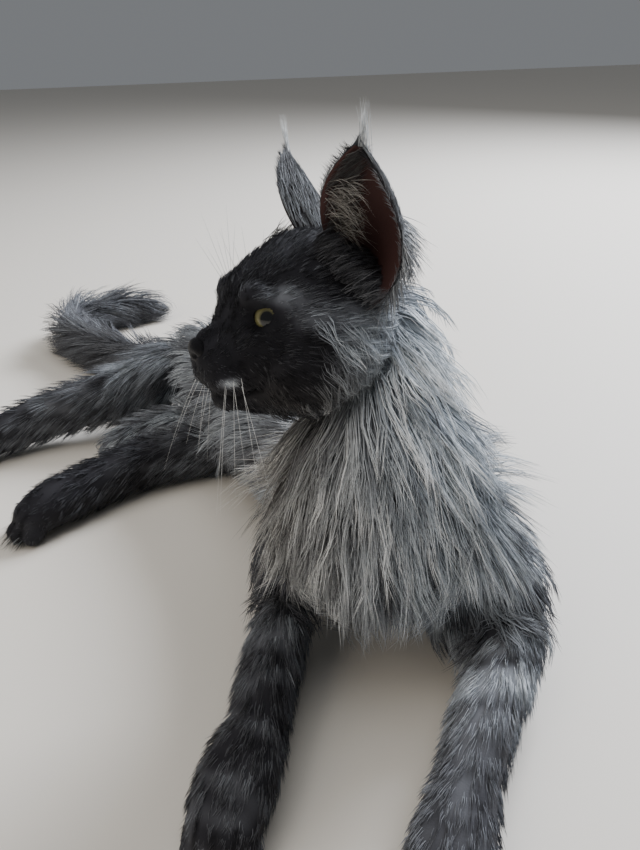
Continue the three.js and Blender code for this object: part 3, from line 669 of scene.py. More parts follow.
# Slow changes along a form: the course, where they start and end, and how much paler
FORM_FADES = [
    ("neck", "z", 120, 60, -0.12),
    ("neck", "y", 385, 425, -0.3),
    ("lower_hindleg_left", "x", -110, -240, -0.22),
    ("lower_hindleg_right", "x", -300, -430, -0.22),
]


def form_tone(places, name):
    # How silver the coat of one form is, before its stray hairs, with painted light on the ruff behind
    # the jaw
    x, y, z = places.T
    base, strength, size, seed = FORM_TONES[name]
    tone = base + strength * waves(places, size, seed)
    courses = {"x": x, "y": y, "z": z, "arc": y + 0.2 * z - 0.0035 * (x - 112) ** 2}
    for form, course, middle, width, paler in FORM_BANDS:
        if form == name:
            tone += paler * peak(courses[course], middle, width)
    for form, course, start, end, paler in FORM_FADES:
        if form == name:
            tone += paler * ramp(courses[course], start, end)
    if name == "neck":
        # Nearly white behind the jaw, partly the ruff's own silver and partly painted light on the side
        # toward the window; greyer low on the shoulder
        tone += 0.33 * peak(x, 88, 48) * peak(z, 245, 60)
        tone -= 0.1 * ramp(x, 100, 140) * ramp(z, 170, 110)
    if name in ("upper_arm_left", "elbow_fold"):
        tone += 0.18 * np.sin((z - y * 0.4) / 7.5)
    return tone


# The toes' length; how dark the painted shade in the furrows between the toes is, and how wide; and the
# darkest tone
TOE_LENGTH = 13
TOE_FURROW_SHADE = 0.8
TOE_FURROW = 1.8
DARKEST = 0.02


def toe_gap(places, name):
    # How far a place is from the nearest furrow between two toes
    toes = list(toe_places(FORMS[FORM_INDEX[name]]))
    gap = np.full(len(places), FAR_OFF)
    for (here, side, ahead), (beyond, _, _) in zip(toes[:-1], toes[1:]):
        offset = places - (here + beyond) / 2
        past_tip = np.maximum(0, np.abs(offset @ ahead) - TOE_LENGTH)
        gap = np.minimum(gap, np.abs(offset @ side) + past_tip)
    return gap


def coat_marks(places, region):
    # Tone and warmth at places that each lie in a region of their own
    tone = np.zeros(len(places))
    warm = np.full(len(places), 0.2)
    for index, form in enumerate(FORMS):
        mine = region == index
        if mine.any():
            tone[mine] = form_tone(places[mine], form.name)
            if form.name in FEET:
                # Painted shade in the furrows between the toes
                tone[mine] *= 1 - TOE_FURROW_SHADE * peak(toe_gap(places[mine], form.name), 0, TOE_FURROW)
    neck = region == FORM_INDEX["neck"]
    warm = np.where(neck, 0.1 + 0.55 * ramp(places[:, 0], 50, -40), warm)
    face = region == HEAD_INDEX
    if face.any():
        tone[face], warm[face] = face_marks(places[face])
    return np.clip(tone, DARKEST, 1), np.clip(warm, 0, 1)


# The coat's colours from black to white, in cool and in warm light
TONE_STOPS = [0.0, 0.2, 0.42, 0.65, 0.85, 1.0]
COOL = np.array([srgb(c) for c in ("#0c0c0f", "#29292e", "#676b73", "#a1aab4", "#cfd8e0", "#f6f9fb")])
WARM = np.array([srgb(c) for c in ("#100e0d", "#2f2b29", "#70695f", "#aba293", "#d8d0c2", "#f6f1e7")])


def coat_colour(tone, warm):
    tone = np.clip(tone, 0, 1)
    cool = np.stack([np.interp(tone, TONE_STOPS, COOL[:, k]) for k in range(3)], axis=-1)
    hot = np.stack([np.interp(tone, TONE_STOPS, WARM[:, k]) for k in range(3)], axis=-1)
    return cool + (hot - cool) * np.asarray(warm)[..., None]


RING_T = np.linspace(0, 1, 33)


def nearest_form(places):
    # Which form each place belongs to, and how far along it
    best = np.full(len(places), np.inf)
    region = np.zeros(len(places), int)
    along = np.zeros(len(places))
    for index, form in enumerate(FORMS):
        centre, _, _, _, wide, high, _ = form.rings(RING_T, 1.0)
        d = np.linalg.norm(places[:, None, :] - centre[None], axis=2)
        gap = d - (wide + high)[None] / 2
        k = gap.argmin(axis=1)
        value = gap[np.arange(len(places)), k]
        closer = value < best
        best = np.where(closer, value, best)
        region = np.where(closer, index, region)
        along = np.where(closer, RING_T[k], along)
    return region, along


def face_region(places):
    # The head is one region, measured from its back to its front
    return np.full(len(places), HEAD_INDEX), ramp(head_local(places)[:, 0], -60, 70)


# Skin: the coat's own markings darkened as painted shade for the depth between the hairs, and the bare
# skin of the ears
SKIN_SHADE = 0.72
EAR_CUP = srgb("#4a3432")
EAR_OUTSIDE = srgb("#2c2a2c")


def paint(data, colours):
    layer = data.attributes.new("coat", "FLOAT_COLOR", "POINT")
    full = np.concatenate([colours, np.ones((len(colours), 1))], axis=1)
    layer.data.foreach_set("color", full.astype(np.float32).ravel())


def paint_skin(piece, region_of):
    places = studio_places(piece)
    tone, warm = coat_marks(places, region_of(places)[0])
    # Painted shade: the skin is darker than the coat over it
    paint(piece.data, coat_colour(tone * SKIN_SHADE, warm))


def paint_ear(piece):
    half = len(piece.data.vertices) // 2
    paint(piece.data, np.array([EAR_CUP] * half + [EAR_OUTSIDE] * half))


body = body_skin()
head = head_skin()
carve_face(head)
ears = {s: ear_skin(s) for s in SIDES}
paint_skin(body, nearest_form)
paint_skin(head, face_region)
for s in SIDES:
    paint_ear(ears[s])


# Surface that the courses of hair are combed over
def tree_of(*pieces):
    verts, faces = joined([(studio_places(p), [f.vertices for f in p.data.polygons]) for p in pieces])
    return BVHTree.FromPolygons(verts.tolist(), faces)


BODY_TREE = tree_of(body)
ALL_TREE = tree_of(body, head)


def scatter(piece, count, density, rng):
    # Places and normals spread over a piece's surface, as dense as asked for
    data = piece.data
    data.calc_loop_triangles()
    tris = np.empty(len(data.loop_triangles) * 3, np.int32)
    data.loop_triangles.foreach_get("vertices", tris)
    tris = tris.reshape(-1, 3)
    places = studio_places(piece)
    a, b, c = (places[tris[:, k]] for k in range(3))
    cross = np.cross(b - a, c - a)
    area = np.linalg.norm(cross, axis=1)
    weight = area * density((a + b + c) / 3, cross / np.maximum(area, 1e-9)[:, None])
    pick = rng.choice(len(tris), count, p=weight / weight.sum())
    u, v = rng.random(count), rng.random(count)
    flip = u + v > 1
    u, v = np.where(flip, 1 - u, u), np.where(flip, 1 - v, v)
    roots = a[pick] + (b - a)[pick] * u[:, None] + (c - a)[pick] * v[:, None]
    return roots, unit(cross[pick])


# How far courses and hairs stay off the floor, how far a tip strays, by its tuft's radius,
# how short a hair may be in its tuft, and how near the skin a place takes the skin's own normal
FLOOR_CLEAR = 1.5
TUFT_FLOOR = 1.0
STRAY = 0.18
SHORTEST = 0.72
ON_SKIN = 0.5


def comb(tree, roots, normals, flow, lengths, heights, steps):
    # Courses over the skin: each step follows the lie of the coat, then keeps its height
    paths = np.zeros((len(roots), steps, 3))
    for n in range(len(roots)):
        normal = Vector(normals[n])
        way = Vector(flow[n])
        place = Vector(roots[n]) + normal * heights[n, 0]
        for i in range(steps):
            if i:
                hit, normal, _, _ = tree.find_nearest(place)
                out = place - hit
                if out.length > ON_SKIN and out.dot(normal) > 0:
                    normal = out.normalized()
                place = hit + normal * heights[n, i]
            place.z = max(place.z, FLOOR_CLEAR)
            paths[n, i] = place
            lay = way - normal * way.dot(normal)
            if lay.length > 1e-6:
                place = place + lay.normalized() * (lengths[n] / (steps - 1))
    return paths


def tuft(paths, normals, per, spread, close, rng):
    # Hairs of each tuft: rooted round its course and drawn together to its tip
    count, steps, _ = paths.shape
    along = np.linspace(0, 1, steps)
    way = unit(paths[:, -1] - paths[:, 0])
    across = unit(np.cross(way, normals))
    ahead = np.cross(normals, across)
    across, ahead, up = (np.repeat(v, per, axis=0) for v in (across, ahead, normals))
    angle = rng.uniform(0, 2 * np.pi, count * per)
    reach = np.sqrt(rng.random(count * per)) * spread
    shift = across * (np.cos(angle) * reach)[:, None] + ahead * (np.sin(angle) * reach)[:, None]
    hold = 1 - close * along ** 1.2
    hairs = np.repeat(paths, per, axis=0) + shift[:, None, :] * hold[None, :, None]
    stray = rng.normal(size=(count * per, 3)) * STRAY * spread
    hairs = hairs + stray[:, None, :] * (along ** 2)[None, :, None]
    short = rng.uniform(SHORTEST, 1.0, count * per)
    base = hairs[:, :1]
    hairs = base + (hairs - base) * (1 + (short[:, None, None] - 1) * along[None, :, None])
    return hairs, across, up, rng.uniform(0, 2 * np.pi, count * per)


# Nodes and materials
def add(tree, kind, settings=(), values=(), links=()):
    # A node with its settings, its constants and what feeds its inputs
    made = tree.nodes.new(kind)
    for name, value in dict(settings).items():
        setattr(made, name, value)
    for socket, value in dict(values).items():
        made.inputs[socket].default_value = value
    for socket, source in dict(links).items():
        tree.links.new(source, made.inputs[socket])
    return made


def material(name, values):
    # A principled surface with its constants
    made = bpy.data.materials.new(name)
    made.use_nodes = True
    tree = made.node_tree
    tree.nodes.clear()
    surface = add(tree, "ShaderNodeBsdfPrincipled", values=values)
    add(tree, "ShaderNodeOutputMaterial", links={"Surface": surface.outputs[0]})
    return made, tree, surface


def fur_material():
    # Keratin hair: a soft broad gloss along each strand, with fine streaks of light and dark
    made, tree, surface = material("soft guard hair", {
        "Roughness": 0.6, "IOR": 1.55, "Specular IOR Level": 0.16,
        "Sheen Weight": 0.12, "Sheen Roughness": 0.4})
    coat = add(tree, "ShaderNodeAttribute", {"attribute_name": "coat"})
    place = add(tree, "ShaderNodeTexCoord")
    streak = add(tree, "ShaderNodeTexNoise", values={"Scale": 260.0, "Detail": 2.0},
                 links={"Vector": place.outputs["Object"]})
    level = add(tree, "ShaderNodeMapRange",
                values={"From Min": 0.3, "From Max": 0.7, "To Min": 0.82, "To Max": 1.18},
                links={"Value": streak.outputs["Fac"]})
    shade = add(tree, "ShaderNodeVectorMath", {"operation": "SCALE"},
                links={0: coat.outputs["Color"], "Scale": level.outputs["Result"]})
    tree.links.new(shade.outputs[0], surface.inputs["Base Color"])
    return made


def relief(tree, surface, kind, values, output, strength, depth):
    # Fine relief from a texture in the object's own space
    place = add(tree, "ShaderNodeTexCoord")
    grain = add(tree, kind, values=values, links={"Vector": place.outputs["Object"]})
    bump = add(tree, "ShaderNodeBump", values={"Strength": strength, "Distance": depth},
               links={"Height": grain.outputs[output]})
    tree.links.new(bump.outputs[0], surface.inputs["Normal"])


def skin_material():
    # Skin under the coat, with a fine grain, seen only between the hairs, where its colour is darkened
    # as painted shade
    made, tree, surface = material("skin under fur", {"Roughness": 0.75, "Specular IOR Level": 0.2})
    coat = add(tree, "ShaderNodeAttribute", {"attribute_name": "coat"})
    tree.links.new(coat.outputs["Color"], surface.inputs["Base Color"])
    relief(tree, surface, "ShaderNodeTexNoise", {"Scale": 700.0, "Detail": 3.0}, "Fac", 0.4, 0.0006)
    return made


def eye_material():
    # A wet eye: a golden green iris round a wide dark pupil, under a clear cornea
    made, tree, surface = material("wet eye, golden green iris", {
        "Roughness": 0.12, "Coat Weight": 0.4, "Coat Roughness": 0.05})
    ring = add(tree, "ShaderNodeAttribute", {"attribute_name": "ring"})
    ramp_node = add(tree, "ShaderNodeValToRGB", links={"Fac": ring.outputs["Fac"]})
    stops = {0.0: "#030303", 0.4: "#040404", 0.45: "#45432a", 0.58: "#746f4b",
             0.76: "#6b6744", 0.88: "#25231a", 1.0: "#0b0a09"}
    elements = ramp_node.color_ramp.elements
    elements[0].color = rgba(stops.pop(0.0))
    elements[1].color = rgba(stops.pop(1.0))
    for place, code in stops.items():
        elements.new(place).color = rgba(code)
    tree.links.new(ramp_node.outputs["Color"], surface.inputs["Base Color"])
    return made


def leather_material():
    # Nose leather: black skin with fine pebbling, about 0.7 mm apart, slightly damp
    made, tree, surface = material("black nose leather", {
        "Base Color": rgba("#0f0e10"), "Roughness": 0.5, "Specular IOR Level": 0.3})
    relief(tree, surface, "ShaderNodeTexVoronoi", {"Scale": 1400.0}, "Distance", 0.5, 0.0004)
    return made


FUR = fur_material()
SKIN = skin_material()
EYE = eye_material()
LEATHER = leather_material()


# Geometry nodes that turn a net of hair courses into tapered solid hairs
HAIR_SIDES = 3


def hair_tree():
    tree = bpy.data.node_groups.new("hair courses to solid hairs", "GeometryNodeTree")
    tree.interface.new_socket("Geometry", in_out="INPUT", socket_type="NodeSocketGeometry")
    tree.interface.new_socket("Sides", in_out="INPUT", socket_type="NodeSocketInt")
    tree.interface.new_socket("Geometry", in_out="OUTPUT", socket_type="NodeSocketGeometry")
    source = add(tree, "NodeGroupInput")
    curve = add(tree, "GeometryNodeMeshToCurve", links={"Mesh": source.outputs["Geometry"]})
    thick = add(tree, "GeometryNodeInputNamedAttribute", {"data_type": "FLOAT"}, {"Name": "thick"})
    ring = add(tree, "GeometryNodeCurvePrimitiveCircle", {"mode": "RADIUS"}, {"Radius": 1.0},
               {"Resolution": source.outputs["Sides"]})
    solid = add(tree, "GeometryNodeCurveToMesh", values={"Fill Caps": False}, links={
        "Curve": curve.outputs[0], "Profile Curve": ring.outputs[0], "Scale": thick.outputs[0]})
    real = add(tree, "GeometryNodeRealizeInstances", links={"Geometry": solid.outputs[0]})
    painted = add(tree, "GeometryNodeSetMaterial", values={"Material": FUR},
                  links={"Geometry": real.outputs[0]})
    add(tree, "NodeGroupOutput", links={"Geometry": painted.outputs[0]})
    return tree


HAIR_TREE = hair_tree()
# The map for the bake: a grid of cells on the skin, and the size of a tuft's own patch
PATCH = 0.003
ATLAS = 4
CELL_EDGE = 0.04
HEAD_AXIS_HEIGHT = -10


def root_patch(roots, region, along):
    # Where a root lies on an unwrap of the body: each form is a cell, by length and girth
    cell_x, cell_y = region % ATLAS, region // ATLAS
    girth = np.zeros(len(roots))
    for index in np.unique(region):
        mine = region == index
        if index < len(FORMS):
            centre, _, side, rise, *_ = FORMS[index].rings(along[mine], 1.0)
            offset = roots[mine] - centre
            angle = np.arctan2((offset * rise).sum(1), (offset * side).sum(1))
        else:
            _, y, z = head_local(roots[mine]).T
            angle = np.arctan2(z - HEAD_AXIS_HEIGHT, y)
        girth[mine] = angle / (2 * np.pi) + 0.5
    room = 1 - 2 * CELL_EDGE
    return np.stack([
        (cell_x + CELL_EDGE + room * girth) / ATLAS,
        (cell_y + CELL_EDGE + room * along) / ATLAS,
    ], axis=1)


def take_values(data, name):
    # A named number of every point, taken off the mesh
    values = np.empty(len(data.vertices), np.float32)
    data.attributes[name].data.foreach_get("value", values)
    data.attributes.remove(data.attributes[name])
    return values


def hair_piece(name, hairs, thick, colours, patches, taper):
    # A net of courses, made solid by the geometry nodes, with its own patches for the maps
    count, steps, _ = hairs.shape
    data = bpy.data.meshes.new(name)
    index = np.arange(count * steps).reshape(count, steps)
    edges = np.stack([index[:, :-1].ravel(), index[:, 1:].ravel()], axis=1)
    data.vertices.add(count * steps)
    data.edges.add(len(edges))
    data.vertices.foreach_set("co", metres(hairs.reshape(-1, 3)).astype(np.float32).ravel())
    data.edges.foreach_set("vertices", edges.astype(np.int32).ravel())
    data.update()
    point_values(data, "thick", np.outer(np.broadcast_to(thick, count), taper).ravel() * MM)
    paint(data, np.broadcast_to(colours, hairs.shape).reshape(-1, 3))
    point_values(data, "patch_u", np.repeat(patches[:, 0], steps))
    point_values(data, "patch_v", np.repeat(patches[:, 1], steps))
    point_values(data, "along", np.tile(np.linspace(0, 1, steps), count))
    piece = stand(name, data)
    modifier = piece.modifiers.new("hairs", "NODES")
    modifier.node_group = HAIR_TREE
    for item in HAIR_TREE.interface.items_tree:
        if item.in_out == "INPUT" and item.name == "Sides":
            modifier[item.identifier] = HAIR_SIDES
    apply_modifiers(piece)
    solid = piece.data
    u, v, along = (take_values(solid, key) for key in ("patch_u", "patch_v", "along"))
    solid.attributes.remove(solid.attributes["thick"])
    corner = np.empty(len(solid.loops), np.int32)
    solid.loops.foreach_get("vertex_index", corner)
    where = np.stack([
        u[corner] + PATCH * ((corner % HAIR_SIDES) / HAIR_SIDES - 0.5),
        v[corner] + PATCH * (along[corner] - 0.5),
    ], axis=1)
    solid.uv_layers.new(name="OFBake").data.foreach_set("uv", where.astype(np.float32).ravel())
    solid.polygons.foreach_set("use_smooth", np.ones(len(solid.polygons), bool))
    return piece


# Coats. Each has its own density, length, height over the skin and way of lying
TAPERS = {3: (0.9, 0.8, 0.06), 4: (0.9, 1.0, 0.7, 0.05), 5: (0.9, 1.0, 0.9, 0.6, 0.05)}
# How far under the skin a course starts, and where along a hair its marking is read
ROOT_DEPTH = 1.5
MARK_PLACE = 0.65
# How much the lengths, the heights and the widths vary
LENGTH_SPAN = (0.8, 1.15)
HEIGHT_SPAN = (0.35, 1.0)
WIDTH_SPAN = (0.75, 1.2)
# How far round a lock sways on its way, how far its hairs are out of step, and its share of rise
CURL_SPAN = (3.5, 6.5)
CURL_SLIP = 0.12
CURL_RISE = 0.3


def strand_colours(hairs, region, per, rng, root_lift, tip_drop, lock_vary, hair_vary):
    # Each hair takes the marking where most of it lies, and each lock its own shade
    seen = hairs[:, 0] * (1 - MARK_PLACE) + hairs[:, -1] * MARK_PLACE
    tone, warm = coat_marks(seen, region)
    tone = tone + np.repeat(rng.normal(scale=lock_vary, size=len(tone) // per), per)
    tone = tone + rng.normal(scale=hair_vary, size=len(tone))
    along = np.linspace(0, 1, hairs.shape[1])
    # A root_lift below zero darkens the root as painted shade
    shades = tone[:, None] * (1 + root_lift * (1 - along)[None] - tip_drop * (along ** 2)[None])
    return coat_colour(shades, warm[:, None])


def curled(hairs, across, up, per, wave, curl, rng):
    # Each lock sways from side to side on its way, and a little up and down
    steps = hairs.shape[1]
    guides = len(hairs) // per
    s = np.linspace(0, 1, steps)
    turn = np.repeat(rng.uniform(0, 2 * np.pi, guides), per) + CURL_SLIP * wave
    round_way = np.repeat(rng.uniform(*CURL_SPAN, guides), per)
    sway = np.sin(turn[:, None] + s[None] * round_way[:, None]) * s[None] ** 0.7 * curl
    lift = np.cos(turn)[:, None] * s[None] * curl * CURL_RISE
    return hairs + across[:, None, :] * sway[..., None] + up[:, None, :] * lift[..., None]


def grow(name, piece, tree, count, per, flow_of, length_of, height_of, density_of, thick, spread,
         steps, close, curl=0.0, root_lift=0.1, tip_drop=0.1, lock_vary=0.05, hair_vary=0.05,
         region_of=nearest_form, seed=0):
    # One piece of coat: roots scattered over a skin, combed into courses and split into tufts
    rng = np.random.default_rng(SEED + seed)
    guides = count // per
    roots, normals = scatter(piece, guides, density_of, rng)
    region, along = region_of(roots)
    flow = unit(flow_of(roots, region, along))
    lengths = length_of(roots, region, along) * rng.uniform(*LENGTH_SPAN, guides)
    tops = height_of(roots, region, along) * rng.uniform(*HEIGHT_SPAN, guides)
    rise = np.linspace(0, 1, steps) ** 0.75
    heights = (tops[:, None] + ROOT_DEPTH) * rise[None] - ROOT_DEPTH
    paths = comb(tree, roots, normals, flow, lengths, heights, steps)
    hairs, across, up, wave = tuft(paths, normals, per, spread, close, rng)
    if curl:
        hairs = curled(hairs, across, up, per, wave, curl, rng)
    hairs[..., 2] = np.maximum(hairs[..., 2], TUFT_FLOOR)
    colours = strand_colours(hairs, np.repeat(region, per), per, rng, root_lift, tip_drop, lock_vary,
                             hair_vary)
    patches = np.repeat(root_patch(roots, region, along), per, axis=0)
    widths = thick * rng.uniform(*WIDTH_SPAN, len(hairs))
    return hair_piece(name, hairs, widths, colours, patches, TAPERS[steps])


def form_coat(region, along):
    depth = np.zeros(len(region))
    for i, form in enumerate(FORMS):
        mine = region == i
        depth[mine] = column(form.stations, 5, along[mine])
    return depth


def form_tangent(region, along):
    way = np.zeros((len(region), 3))
    for i, form in enumerate(FORMS):
        mine = region == i
        if mine.any():
            way[mine] = form.rings(along[mine], 1.0)[1]
    return way


# Below this height the underside is nearly bare. Inside this ellipsoid the head hides the neck
FLOOR_SIDE = 8
HEAD_SHADOW = np.array([58, 54, 54]) * 0.9


def in_forms(*names):
    # Hair on these forms only, hardly any on the floor side, and none inside the head
    indices = [FORM_INDEX[n] for n in names]

    def density(places, normals):
        keep = np.isin(nearest_form(places)[0], indices).astype(float)
        keep *= np.where((normals[:, 2] < -0.7) & (places[:, 2] < FLOOR_SIDE), 0.05, 1.0)
        hidden = np.linalg.norm(head_local(places) / HEAD_SHADOW, axis=1) < 1
        return keep * np.where(hidden, 0.0, 1.0)

    return density


def part_of(whole, test):
    return lambda places, normals: whole(places, normals) * test(*places.T)


# Where the ruff parts, and how much each coat hangs on its way along the form
RUFF_MIDDLE = np.array([30.0, 372.0, 0.0])
RUFF_OUTWARD = 0.4
RUFF_DROP = np.array([0.05, 0.1, -1.0])
BODY_DROP = 0.7
LEG_DROP = 0.25


def ruff_flow(roots, region, along):
    # Down, and a little outward from the middle of the neck
    out = (roots - RUFF_MIDDLE) * np.array([1, 1, 0])
    return unit(out) * RUFF_OUTWARD + RUFF_DROP


def body_flow(roots, region, along):
    return form_tangent(region, along) - BODY_DROP * UP


def leg_flow(roots, region, along):
    return form_tangent(region, along) - LEG_DROP * UP


FEET_INDICES = [FORM_INDEX[name] for name in FEET]


def depth_times(scale, least=0.0):
    # A share of the coat's depth and a least length, which falls away on the feet
    def measure(roots, region, along):
        foot = np.isin(region, FEET_INDICES) * ramp(along, 0.72, 0.86)
        return form_coat(region, along) * scale * (1 - 0.5 * foot) + least * (1 - 0.7 * foot)
    return measure


# Long silver hair has painted shade at its root, for the dark gaps deep in the coat, and is palest at
# its tip
SILVER_SHADED_ROOTS = {"root_lift": -0.2, "tip_drop": -0.08, "hair_vary": 0.06}
RUFF_SPLIT_X = 40
RUFF_SPLIT_Y = 350
RUFF_PARTS = [
    ("ruff_front_left", 6500, lambda x, y, z: (y < RUFF_SPLIT_Y) & (x >= RUFF_SPLIT_X)),
    ("ruff_front_right", 6500, lambda x, y, z: (y < RUFF_SPLIT_Y) & (x < RUFF_SPLIT_X)),
    ("ruff_back", 4600, lambda x, y, z: y >= RUFF_SPLIT_Y),
]
# Name, where it grows, hairs, hairs a tuft, way of lying, then length by the coat's depth, least
# length, height by the coat's depth, hair radius, tuft radius, steps and curl
TORSO_SPLIT_Y = 520.0
TORSO_COAT = (4700, 5, body_flow, 1.7, 8, 0.9, 0.45, 4.6, 4, 2.2)
BODY_COATS = [
    ("coat_flank_front", part_of(in_forms("torso"), lambda x, y, z: y < TORSO_SPLIT_Y), *TORSO_COAT),
    ("coat_flank_rear", part_of(in_forms("torso"), lambda x, y, z: y >= TORSO_SPLIT_Y), *TORSO_COAT),
    ("coat_thighs", in_forms("thigh_left", "thigh_right", "belly_fold"),
     5600, 5, body_flow, 1.6, 6, 0.9, 0.42, 4.4, 4, 2.2),
    ("coat_hindlegs", in_forms("lower_hindleg_left", "lower_hindleg_right"),
     7000, 4, leg_flow, 1.1, 5, 0.7, 0.34, 3.4, 3, 0.8),
    ("coat_forelegs", in_forms("lower_foreleg_left", "lower_foreleg_right"),
     10600, 4, leg_flow, 1.1, 5, 0.6, 0.28, 3.0, 3, 0.8),
    ("coat_upper_arms", in_forms("upper_arm_left", "upper_arm_right", "elbow_fold"),
     4200, 5, body_flow, 1.5, 12, 1.0, 0.36, 4.2, 4, 2.2),
    ("coat_tail", in_forms("tail"), 5600, 5, leg_flow, 1.7, 12, 1.25, 0.4, 5.4, 4, 2.2),
]
COATS = []
for index, (name, count, test) in enumerate(RUFF_PARTS):
    COATS.append(grow(
        name, body, ALL_TREE, count, 9, ruff_flow, depth_times(1.15, 18), depth_times(1.0),
        part_of(in_forms("neck"), test), 0.36, 6.4, steps=5, close=0.8, curl=4.2, lock_vary=0.17,
        seed=index, **SILVER_SHADED_ROOTS))
for index, row in enumerate(BODY_COATS):
    name, density, count, per, flow, scale, least, height, radius, spread, steps, curl = row
    COATS.append(grow(
        name, body, BODY_TREE, count, per, flow, depth_times(scale, least), depth_times(height),
        density, radius, spread, steps=steps, close=0.35, curl=curl, seed=10 + index))


# Short coat of the head
def face_flow(roots, region, along):
    # Back from the nose, out from the middle line, down on the cheeks and up on the brow
    x, y, z = head_local(roots).T
    side = np.sign(y) * ramp(np.abs(y), 0, 20) * (x > 30)
    rise = np.where(z > 10, 0.5 * ramp(x, 25, 45), 0) - 0.9 * ramp(z, -5, -35)
    rise = rise + np.where((x > 40) & (z > -18), 0.8, 0)
    return np.stack([-np.ones(len(x)), 0.5 * side, rise], axis=1) @ HEAD_AXES


def eye_gap(local):
    # How far a place of the head is from the nearer eye's own lids
    mirror = np.abs(local[:, 1])
    d = np.stack([local[:, 0], mirror, local[:, 2]], axis=1) - EYE_CENTRE
    return np.linalg.norm(d, axis=1) - EYE_RADIUS


def face_length(roots, region, along):
    # Longer on the cheeks, shorter on the muzzle, round the mouth and round the eyes
    local = head_local(roots)
    x, _, z = local.T
    long = 8 + 6 * ramp(x, 20, -20) + 26 * ramp(z, 6, -24) * ramp(x, 22, -12) - 4 * ramp(x, 42, 54)
    long = long * np.clip(0.35 + mouth_gap(local) / 8, 0.35, 1)
    return long * np.clip(0.3 + eye_gap(local) / 12, 0.3, 1)


def face_height(roots, region, along):
    return 0.6 + 0.3 * face_length(roots, region, along)


LID_MARGIN = 1.9
NOSE_BARE = np.array([7, 8, 7])


def face_density(places, normals):
    # None on the eyes and the nose, thin under the ruff, densest on the muzzle
    local = head_local(places)
    keep = np.where(local[:, 0] < -44, 0.2, 1)
    for s in SIDES:
        _, inside, ahead = eye_view(local, s)
        keep = keep * np.where((inside > -LID_MARGIN) & (ahead > 0), 0, 1)
    nose = np.linalg.norm((local - NOSE_CENTRE) / NOSE_BARE, axis=1) < 1
    return keep * np.where(nose, 0, 1) * (1 + 0.8 * ramp(local[:, 0], 0, 40))


def half_face(side):
    return lambda places, normals: face_density(places, normals) * (head_local(places)[:, 1] * side > 0)


for index, side in enumerate((1, -1)):
    COATS.append(grow(
        f"coat_head_{SIDE_NAME[side]}", head, ALL_TREE, 9600, 4, face_flow, face_length, face_height,
        half_face(side), 0.2, 1.6, steps=3, close=0.3, root_lift=0.0, tip_drop=0.0, lock_vary=0.04,
        hair_vary=0.07, region_of=face_region, seed=20 + index))


# Long fur of the cheeks and jaw, which runs from the black face into the silver ruff
CHEEK_HEIGHT = 9.0


def cheek_density(places, normals):
    x, _, z = head_local(places).T
    back = ramp(x, 14, 2) * ramp(z, 16, 2)
    jaw = ramp(x, 30, 18) * ramp(z, -34, -42)
    return np.maximum(back, jaw) * np.where(x < -50, 0, 1)


def cheek_flow(roots, region, along):
    x, y, z = head_local(roots).T
    way = [np.full(len(x), -0.55), 0.12 * np.sign(y), -0.9 - 0.4 * ramp(z, 0, -40)]
    return np.stack(way, axis=1) @ HEAD_AXES


def cheek_length(roots, region, along):
    return 24 + 16 * ramp(head_local(roots)[:, 0], 10, -30)


def cheek_height(roots, region, along):
    return np.full(len(roots), CHEEK_HEIGHT)


COATS.append(grow(
    "cheek_ruff", head, ALL_TREE, 5400, 8, cheek_flow, cheek_length, cheek_height, cheek_density,
    0.27, 4.4, steps=4, close=0.7, curl=3.0, lock_vary=0.15, region_of=face_region, seed=30,
    **SILVER_SHADED_ROOTS))


def straight(roots, ways, lengths, s):
    # Single hairs, straight out from their roots, with a point at each share s of their length
    return roots[:, None] + ways[:, None] * (np.asarray(lengths)[:, None, None] * s[None, :, None])


# Hairs of the ears: fur on the back and the rims, furnishings in the cup, and the tip's tuft
def ear_piece(name, roots, ways, bends, lengths, tone, warm, radius, steps):
    s = np.linspace(0, 1, steps)
    local = straight(roots, unit(ways), lengths, s) + bends[:, None] * (s ** 2)[None, :, None]
    count = len(roots)
    patches = root_patch(head_place(roots), np.full(count, EAR_INDEX), np.linspace(0.05, 0.95, count))
    taper = np.interp(s, (0, 0.5, 1), (1, 0.8, 0.08))
    return hair_piece(name, head_place(local), radius, coat_colour(tone[:, None], warm), patches, taper)


# The line of fur over the foot of the cup, and the point where the tip's tuft ends
EAR_FOOT_LINE = [(-10, 20, 46), (-3, 38, 36), (-22, 55, 12)]
EAR_TUFT_TIP = np.array([-17.5, 50.0, 116.0])


